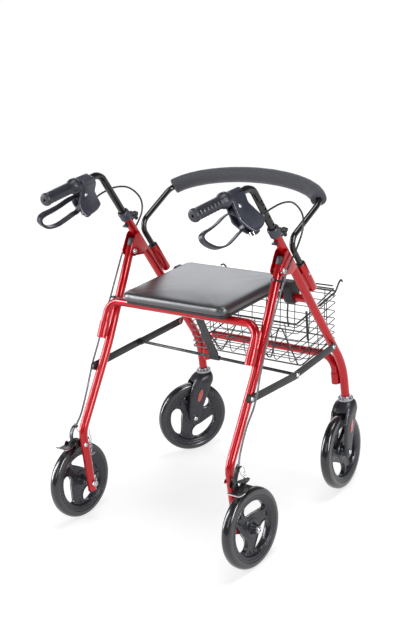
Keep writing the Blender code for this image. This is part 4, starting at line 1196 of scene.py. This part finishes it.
# -------------------------------------------------------------------- brakes
def brakes():
    """Arm with its shoe on the rear leg, and the fixed stop and spring beside it."""
    line = mm((-232, 208.5), (-245, 206.2), (-260, 204), (-275, 204.2), (-286, 206.8),
              (-291.5, 211))
    sheet = smooth_path([(0, *p) for p in line], 30)
    rings = [[p + Vector((x, 0, z)) for x, z in mm((267, 0), (296.2, 0), (296.2, 2.2),
                                                   (267, 2.2))] for p in sheet]
    tread = loft("tread", rings, PAINT, bevel=0.0005)
    edge = [[p + Vector((x, 0, z)) for x, z in mm((267.2, -2.2), (296, -2.2), (296, 0.1),
                                                  (267.2, 0.1))]
            for p in sheet[12:30]]
    pad = loft("pad", edge, STEEL)
    web = mm((-266, 205), (-236, 207.5), (-230, 214), (-240, 223.5), (-256, 222.5), (-270, 213))
    arm = plate("arm", round_corners(web, 0.003, 4), 0.2670, 0.2696, PAINT, bevel=0.0008)
    far = plate("far", round_corners(mm((-262, 205), (-248, 207), (-250, 214),
                                        (-258, 213)), 0.002, 3), 0.2940, 0.2962, PAINT,
                bevel=0.0006)
    lug = turned("lug", mm((251.6, 7.2), (252.2, 8), (269, 8)),
                 (0, *BRAKE_PIVOT), (1, 0, 0), PAINT, 32)
    prong = plate("prong", round_corners(mm((-248, 207), (-212, 204), (-204, 207), (-204, 212),
                                            (-244, 220)), 0.003, 4),
                  0.2600, 0.2680, PAINT, bevel=0.0008)
    both(merge("brake_shoe_r", [arm, far, tread, lug, prong, pad]), "brake", "brake_arm")

    bolt = merge("brake_bolt_r", [
        bolt_head("head", (0.2690, *BRAKE_PIVOT), (1, 0, 0), 0.0058, STEEL, 0.0034),
        bolt_head("head", (FRAME_X - LEG_R + 0.0006, *BRAKE_PIVOT), (-1, 0, 0), 0.0055, STEEL,
                  0.0030)])
    both(bolt, "rear_frame")

    # Upright strip, curled over at its head, that holds the cable's end.
    line = [Vector(p) for p in mm((265, -256, 215), (267.2, -259, 228), (269, -254, 244),
                                  (268, -244, 255.5), (266.5, -234, 256))]
    strip = ribbon("strip", smooth_path(line, 24), (1, 0, 0), flat(6.5, 1.1), PAINT,
                   bevel=0.0004)
    foot = plate("foot", round_corners(mm((-262, 206), (-238, 206), (-236, 220), (-250, 226),
                                          (-264, 218)), 0.004, 4), 0.2512, 0.2532, PAINT,
                 bevel=0.0004)
    arch = rod("arch", smooth_path(mm((252, -250, 224), (258, -256, 229),
                                      (265, -258, 224)), 12), 0.0024, PAINT, 12)
    both(merge("cable_stop_r", [strip, foot, arch]), "rear_frame")

    nut = merge("cable_nut_r", [
        turned("nut", mm((-5, 2.6), (-5, 4.2), (5, 4.2),
                         (5, 2.6)), (0.2660, -0.2385, 0.2570), (0, -0.55, 0.83), ZINC, 6),
        rod("inner", mm((266.4, -240, 253), (264, -230, 230),
                        (264, -212, 211)), 0.0009, STEEL, 8)])
    both(nut, "rear_frame")

    # Return spring down to a stud on the leg.
    top, foot = Vector((0.2545, -0.2050, 0.2340)), Vector((0.2540, -0.2100, 0.1640))
    coil = []
    turns, steps = 13, 14
    for k in range(turns * steps + 1):
        t = k / (turns * steps)
        w = 2 * math.pi * turns * t
        coil.append(top.lerp(foot, 0.14 + 0.66 * t)
                    + Vector((math.cos(w), math.sin(w), 0)) * 0.0030)
    parts = [rod("coil", coil, 0.00065, STEEL, 8),
             rod("hook", smooth_path([top + Vector((0, 0, -0.009)), top,
                                      top + Vector((0, -0.003, 0.004)),
                                      top + Vector((0, -0.006, 0.001))], 16), 0.0008, STEEL, 8),
             rod("tail", [top.lerp(foot, 0.80), foot], 0.0009, STEEL, 8),
             rod("cross", [foot + Vector((0, -0.012, 0.002)), foot,
                           foot + Vector((0, 0.012, 0.001))], 0.0014, STEEL, 10, 0.0004)]
    both(merge("return_spring_r", parts), "rear_frame")


# -------------------------------------------------------------------- braces
def bar(name, a, b, lo, hi, half, mat):
    way = math.degrees(math.atan2(b[1] - a[1], b[0] - a[0]))
    outline = arc(b[0], b[1], half, way - 90, way + 90, 20)
    outline += arc(a[0], a[1], half, way + 90, way + 270, 20)
    return plate(name, outline, *sorted((lo, hi)), mat, bevel=0.0006)


def braces():
    for s, tag in SIDES:
        middle = BRACE_C[s]
        front = [bar("flat", middle, BRACE_F, s * 0.2530, s * 0.2555, 0.0100, PAINT),
                 turned("boss", [(0.2512, 0.0070), (0.2532, 0.0078)], (0, *BRACE_F), (s, 0, 0),
                        ZINC, 24),
                 bolt_head("head", (s * 0.2556, *BRACE_F), (s, 0, 0), 0.0058, STEEL, 0.0030)]
        settle(merge("front_strut" + tag, front), "front_links", ["brace_front" + tag])
        rear = [bar("flat", BRACE_R, middle, s * 0.2562, s * 0.2587, 0.0100, PAINT),
                turned("boss", [(0.2512, 0.0070), (0.2564, 0.0078)], (0, *BRACE_R), (s, 0, 0),
                       ZINC, 24)]
        for spot in (BRACE_R, middle):
            rear.append(bolt_head("head", (s * 0.2588, *spot), (s, 0, 0), 0.0060, STEEL, 0.0032))
        settle(merge("rear_strut" + tag, rear), "rear_links", ["brace_rear" + tag])

    # Black spacer between each rear leg and its strut.
    spacer = turned("strut_spacer_r", mm((248, 10), (254.5, 10), (255.6, 9.2)),
                    (0, *BRACE_R), (1, 0, 0), KNOB, 32)
    both(spacer, "rear_frame")

    ends = [Vector((s * 0.2527, *BRACE_C[s])) for s in (-1, 1)]
    settle(rod("link_rod", ends, 0.0040, PAINT, 24, 0.0008), "front_links", ["cross_rod"])


def strap():
    """Webbing strap: once round the rod, sewn to itself, and up to the seat."""
    a, b = Vector((0, 0.0308, 0.3877)), Vector((0, -0.0280, 0.5540))
    along = (b - a).normalized()
    thick = Vector((1, 0, 0)).cross(along)
    turn = 0.0056
    line = [b + thick * 0.0002, a.lerp(b, 0.5), a + along * 0.020 + thick * 0.0014]
    for k in range(19):
        w = math.radians(70 - 320 * k / 18)
        line.append(a + thick * turn * math.sin(w) + along * turn * math.cos(w))
    line += [a + along * 0.016 - thick * 0.0010, a + along * 0.046 - thick * 0.0008]
    path = smooth_path(line, 150)
    rings = []
    for p, side, up, _ in places(path, side=(1, 0, 0)):
        reach = max(0.0, min(1.0, (p - a).dot(along) / (b - a).length))
        wide = 0.0150 - 0.0012 * reach
        ripple = 0.0004 * math.sin(reach * 23)
        rings.append([p + side * x + up * (y + ripple * abs(x) / wide) for x, y in
                      ((-wide, 0), (-wide * 0.97, -0.0007), (0, -0.0009), (wide * 0.97, -0.0007),
                       (wide, 0), (wide * 0.97, 0.0007), (0, 0.0009), (-wide * 0.97, 0.0007))])
    parts = [loft("band", rings, WEB)]
    for row in (0.018, 0.030, 0.042):
        for k in range(9):
            x = -0.012 + 0.003 * k
            spot = a + along * row + thick * 0.0021 + Vector((x, 0, 0))
            parts.append(rod("stitch", [spot - Vector((0.0010, 0, 0)),
                                        spot + Vector((0.0010, 0, 0))], 0.00045, CAP, 6))
    settle(merge("webbing_strap", parts), "strap", ["fold_strap"])


# ---------------------------------------------------------------------- seat
def rounded(half_x, y0, y1, r):
    """Outline of a rectangle with round corners."""
    pts, steps = [], 12
    for cx, cy, start in ((half_x - r, y1 - r, 0), (-half_x + r, y1 - r, 90),
                          (-half_x + r, y0 + r, 180), (half_x - r, y0 + r, 270)):
        for k in range(steps + 1):
            w = math.radians(start + 90 * k / steps)
            pts.append((cx + r * math.cos(w), cy + r * math.sin(w)))
    return pts


def layers(name, half_x, y0, y1, r, steps, mat):
    """Rounded rectangles stacked from (height, inset) pairs."""
    rings = []
    for z, inset in steps:
        outline = rounded(half_x - inset, y0 + inset, y1 - inset, max(r - inset, 0.004))
        rings.append([Vector((x, y, z)) for x, y in outline])
    return loft(name, rings, mat)


def seat():
    board = layers("board", 0.1610, -0.1060, 0.1540, 0.016,
                   mm((560.2, 1.8), (560.6, 0.6), (561.6, 0), (567.4, 0), (568.2, 0.8)), BOARD)
    outline = mm((124, 529), (133, 522.5), (151, 522.5), (160, 529), (160, 572), (152, 580),
                 (130, 580), (121, 570))
    parts = [board]
    for s in (1, -1):
        clip = plate("clip", round_corners(outline, 0.0035, 5),
                     *sorted((s * 0.1674, s * 0.1930)), BOARD, bevel=0.0014, segments=3)
        bore = turned("bore", [(0.1, CROSS_R + 0.0004), (0.22, CROSS_R + 0.0004)],
                      (0, *HINGE_TUBE), (s, 0, 0), KNOB, 40)
        mouth = plate("mouth", mm((139, 530), (145, 530), (145, 515),
                                  (139, 515)), *sorted((s * 0.1, s * 0.22)), KNOB)
        cut(clip, [bore, mouth])
        parts.append(clip)
        tab = mm((125, 561.2), (148, 561.2), (148, 567.2), (125, 567.2))
        parts.append(plate("tab", tab, *sorted((s * 0.1500, s * 0.1720)), BOARD, bevel=0.0006))
        # Rivets that hold the clip to the board.
        for y in (0.1290, 0.1420):
            parts.append(turned("rivet", mm((0, 3), (1.2, 2.8), (1.8, 1.6)),
                                (s * 0.1600, y, 0.5612), (0, 0, -1), ZINC, 16))
    settle(merge("seat_base", parts), "seat", ["seat_board"])

    cushion = layers("cushion", 0.1670, -0.1130, 0.1600, 0.022,
                     mm((568.6, 9), (568.8, 4.5), (570, 1.4), (572.5, 0.3), (578, 0),
                        (583.5, 0.6), (587.5, 3), (589.8, 7), (590.9, 13), (591.3, 22)), VINYL)
    cushion = inflate(cushion, 0.0045, 4.0, 0.0022)
    settle(cushion, "seat", ["seat_pad"])


def inflate(obj, voxel, pressure, reach):
    """Blows the sewn cover up a little, like a filled cushion."""
    mod = obj.modifiers.new("cells", "REMESH")
    mod.mode = "VOXEL"
    mod.voxel_size = voxel
    bake(obj)
    before = [v.co.copy() for v in obj.data.vertices]
    group = obj.vertex_groups.new(name="held")
    low = min(v.co.z for v in obj.data.vertices)
    group.add([v.index for v in obj.data.vertices if v.co.z < low + 0.003], 1.0, "REPLACE")
    cloth = obj.modifiers.new("cloth", "CLOTH")
    own = cloth.settings
    own.use_pressure = True
    own.uniform_pressure_force = pressure
    own.effector_weights.gravity = 0
    own.tension_stiffness = 40
    own.compression_stiffness = 40
    own.bending_stiffness = 6.0
    own.vertex_group_mass = "held"
    for number in range(1, 21):
        bpy.context.scene.frame_set(number)
    bake(obj)
    longest = max((v.co - start).length for v, start in zip(obj.data.vertices, before))
    share = min(1.0, reach / max(longest, 0.0001))
    for v, start in zip(obj.data.vertices, before):
        v.co = start.lerp(v.co, share)
    bpy.context.scene.frame_set(1)
    mod = obj.modifiers.new("round", "SUBSURF")
    mod.levels = 1
    bake(obj)
    smooth(obj, 180)
    return obj


# -------------------------------------------------------------------- basket
def basket():
    thin, thick = 0.0012, 0.0024
    low = {"rear": (0.153, 0.347), "front": (0.311, 0.366)}
    high = {"rear": (0.148, 0.461), "front": (0.335, 0.488)}
    half = 0.1800

    def corner(side, f):
        a, b = low[side], high[side]
        return (a[0] + (b[0] - a[0]) * f, a[1] + (b[1] - a[1]) * f)

    def hoop(f, radius):
        (y0, z0), (y1, z1) = corner("rear", f), corner("front", f)
        corners = [Vector((0, y0, z0)), Vector((half, y0, z0)), Vector((half, y1, z1)),
                   Vector((-half, y1, z1)), Vector((-half, y0, z0)), Vector((0, y0, z0))]
        path = fillet(corners, [0.007] * 4, 5)[:-1]
        rings = [circle(s, radius, 12) for s in places(path, closed=True)]
        return loft("hoop", rings, WIRE, closed=True)

    parts = [hoop(f, thin) for f in (0.13, 0.27, 0.42, 0.58, 0.77, 0.92)]
    parts += [hoop(0.0, 0.0020), hoop(1.0, thick)]

    # Upright wires run down one side, across the bottom and up the other.
    (yr, zr), (yf, zf) = high["rear"], high["front"]
    (br, cr), (bf, cf) = low["rear"], low["front"]
    for k in range(-3, 4):
        x = k * 0.0480
        corners = [(x, yr, zr), (x, br, cr - 0.002), (x, bf, cf - 0.002), (x, yf, zf)]
        parts.append(rod("rib", fillet(corners, [0.014, 0.014], 8), thin, WIRE, 12))
    for f in (0.25, 0.5, 0.75):
        y, z = br + (bf - br) * f, cr + (cf - cr) * f
        top_y, top_z = yr + (yf - yr) * f, zr + (zf - zr) * f
        corners = [(-half, top_y, top_z), (-half, y, z - 0.0035), (half, y, z - 0.0035),
                   (half, top_y, top_z)]
        parts.append(rod("rung", fillet(corners, [0.014, 0.014], 8), thin, WIRE, 12))

    # Zigzag stiffener on the rear panel.
    line = [(-0.165, 0.98), (-0.078, 0.01), (0.003, 0.98), (0.0845, 0.01), (0.130, 0.98),
            (0.172, 0.02)]
    corners = []
    for x, f in line:
        y, z = corner("rear", f)
        corners.append((x, y - 0.0030, z))
    parts.append(rod("zigzag", fillet(corners, [0.008] * 4, 8), 0.0019, WIRE, 12))

    # Hooks that stand up from the front corners, and over the seat's hinge tube behind.
    for s in (1, -1):
        hook = [(s * 0.176, 0.322, 0.478), (s * 0.180, 0.335, 0.492), (s * 0.186, 0.339, 0.508),
                (s * 0.195, 0.338, 0.520), (s * 0.203, 0.333, 0.518)]
        parts.append(rod("hook", smooth_path(hook, 22), 0.0024, WIRE, 14, 0.0008))
        hang = [(s * 0.156, 0.1475, 0.452), (s * 0.156, 0.1470, 0.480),
                (s * 0.156, 0.1555, 0.520)]
        hang += [(s * 0.156, HINGE_TUBE[0] + 0.0138 * math.cos(math.radians(w)),
                  HINGE_TUBE[1] + 0.0138 * math.sin(math.radians(w)))
                 for w in (-5, 30, 65, 100, 135, 170, 200)]
        parts.append(rod("hanger", smooth_path(hang, 44), 0.0022, WIRE, 14, 0.0008))
        for drop_by in (0.0, 0.009):
            bail = [(s * 0.1800, 0.2470 + drop_by, 0.4820 - drop_by),
                    (s * 0.1800, 0.3240 + drop_by, 0.4990 - drop_by * 1.3)]
            parts.append(rod("bail", bail, 0.0019, WIRE, 12, 0.0006))
        parts.append(rod("stile", [(s * 0.1800, 0.1966, 0.4800), (s * 0.1800, 0.1912, 0.4030)],
                         0.0032, WIRE, 16, 0.0010))
    for z in (0.0105, 0.0020):
        parts.append(rod("front_rail", [(-0.172, 0.3330, 0.4920 + z), (0.172, 0.3330,
                                                                      0.4920 + z)],
                         0.0019, WIRE, 12, 0.0006))
    settle(merge("wire_basket", parts), "basket", ["basket"])


leg_tubes()
hinge_brackets()
ties()
collars()
knobs()
cross_tubes()
backrest()
tube_end, tube_way = handle_tube()
grip(tube_end, tube_way)
housing(tube_end, tube_way)
lever()
cables()
rear_wheels()
casters()
brakes()
braces()
strap()
seat()
basket()


# --------------------------------------------------------------------- stage
def flat_colour(name, colour, rough):
    mat = shader(name, colour, rough, 0, 0, 0.3, 0.15)
    return rough_by(mat, noise_value(mat, 3.0), rough - 0.05, rough + 0.05)


def studio():
    size = FLOOR_HALF
    floor = piece("floor", [(-size, -size, 0), (size, -size, 0), (size, size, 0),
                            (-size, size, 0)], [(0, 1, 2, 3)],
                  flat_colour("floor_paper", (0.50, 0.50, 0.50), 0.85))
    glow = floor.data.materials[0].node_tree.nodes["Principled BSDF"]
    glow.inputs["Emission Color"].default_value = (1, 1, 1, 1)
    glow.inputs["Emission Strength"].default_value = FLOOR_GLOW
    world = bpy.data.worlds.new("studio")
    bpy.context.scene.world = world
    world.use_nodes = True
    back = world.node_tree.nodes["Background"]
    back.inputs["Color"].default_value = (0.92, 0.95, 1.0, 1)
    back.inputs["Strength"].default_value = WORLD_LIGHT
    bpy.context.scene.view_settings.view_transform = "Standard"

    for name, spot, aim, power, wide, high, fills in LAMPS:
        data = bpy.data.lights.new(name, "AREA")
        data.shape = "RECTANGLE"
        data.size = wide
        data.size_y = high
        data.energy = power
        data.color = (0.95, 0.96, 1.0)
        lamp = bpy.data.objects.new(name, data)
        lamp.visible_diffuse = fills
        way = Vector(aim) - Vector(spot)
        lamp.rotation_euler = way.to_track_quat("-Z", "Y").to_euler()
        lamp.location = spot
        bpy.context.scene.collection.objects.link(lamp)

    data = bpy.data.lights.new("ceiling", "SUN")
    data.energy = SUN_STRENGTH
    data.angle = math.radians(SUN_SOFTNESS)
    lamp = bpy.data.objects.new("ceiling", data)
    lamp.rotation_euler = (math.radians(-8), math.radians(6), 0)
    bpy.context.scene.collection.objects.link(lamp)


def camera():
    turn, tilt, roll = (math.radians(a) for a in CAMERA_ANGLES)
    back = Vector((math.sin(turn) * math.cos(tilt), -math.cos(turn) * math.cos(tilt),
                   math.sin(tilt)))
    right = (-back).cross(Vector((0, 0, 1))).normalized()
    up = right.cross(-back)
    across = right * math.cos(roll) + up * math.sin(roll)
    over = up * math.cos(roll) - right * math.sin(roll)
    data = bpy.data.cameras.new("camera")
    data.sensor_width = SENSOR_MM
    data.lens = LENS_MM
    made = bpy.data.objects.new("camera", data)
    bpy.context.scene.collection.objects.link(made)
    place = Matrix((across, over, back)).transposed().to_4x4()
    place.translation = Vector(CAMERA_AIM) + back * CAMERA_DISTANCE
    made.matrix_world = place
    bpy.context.scene.camera = made


studio()
camera()
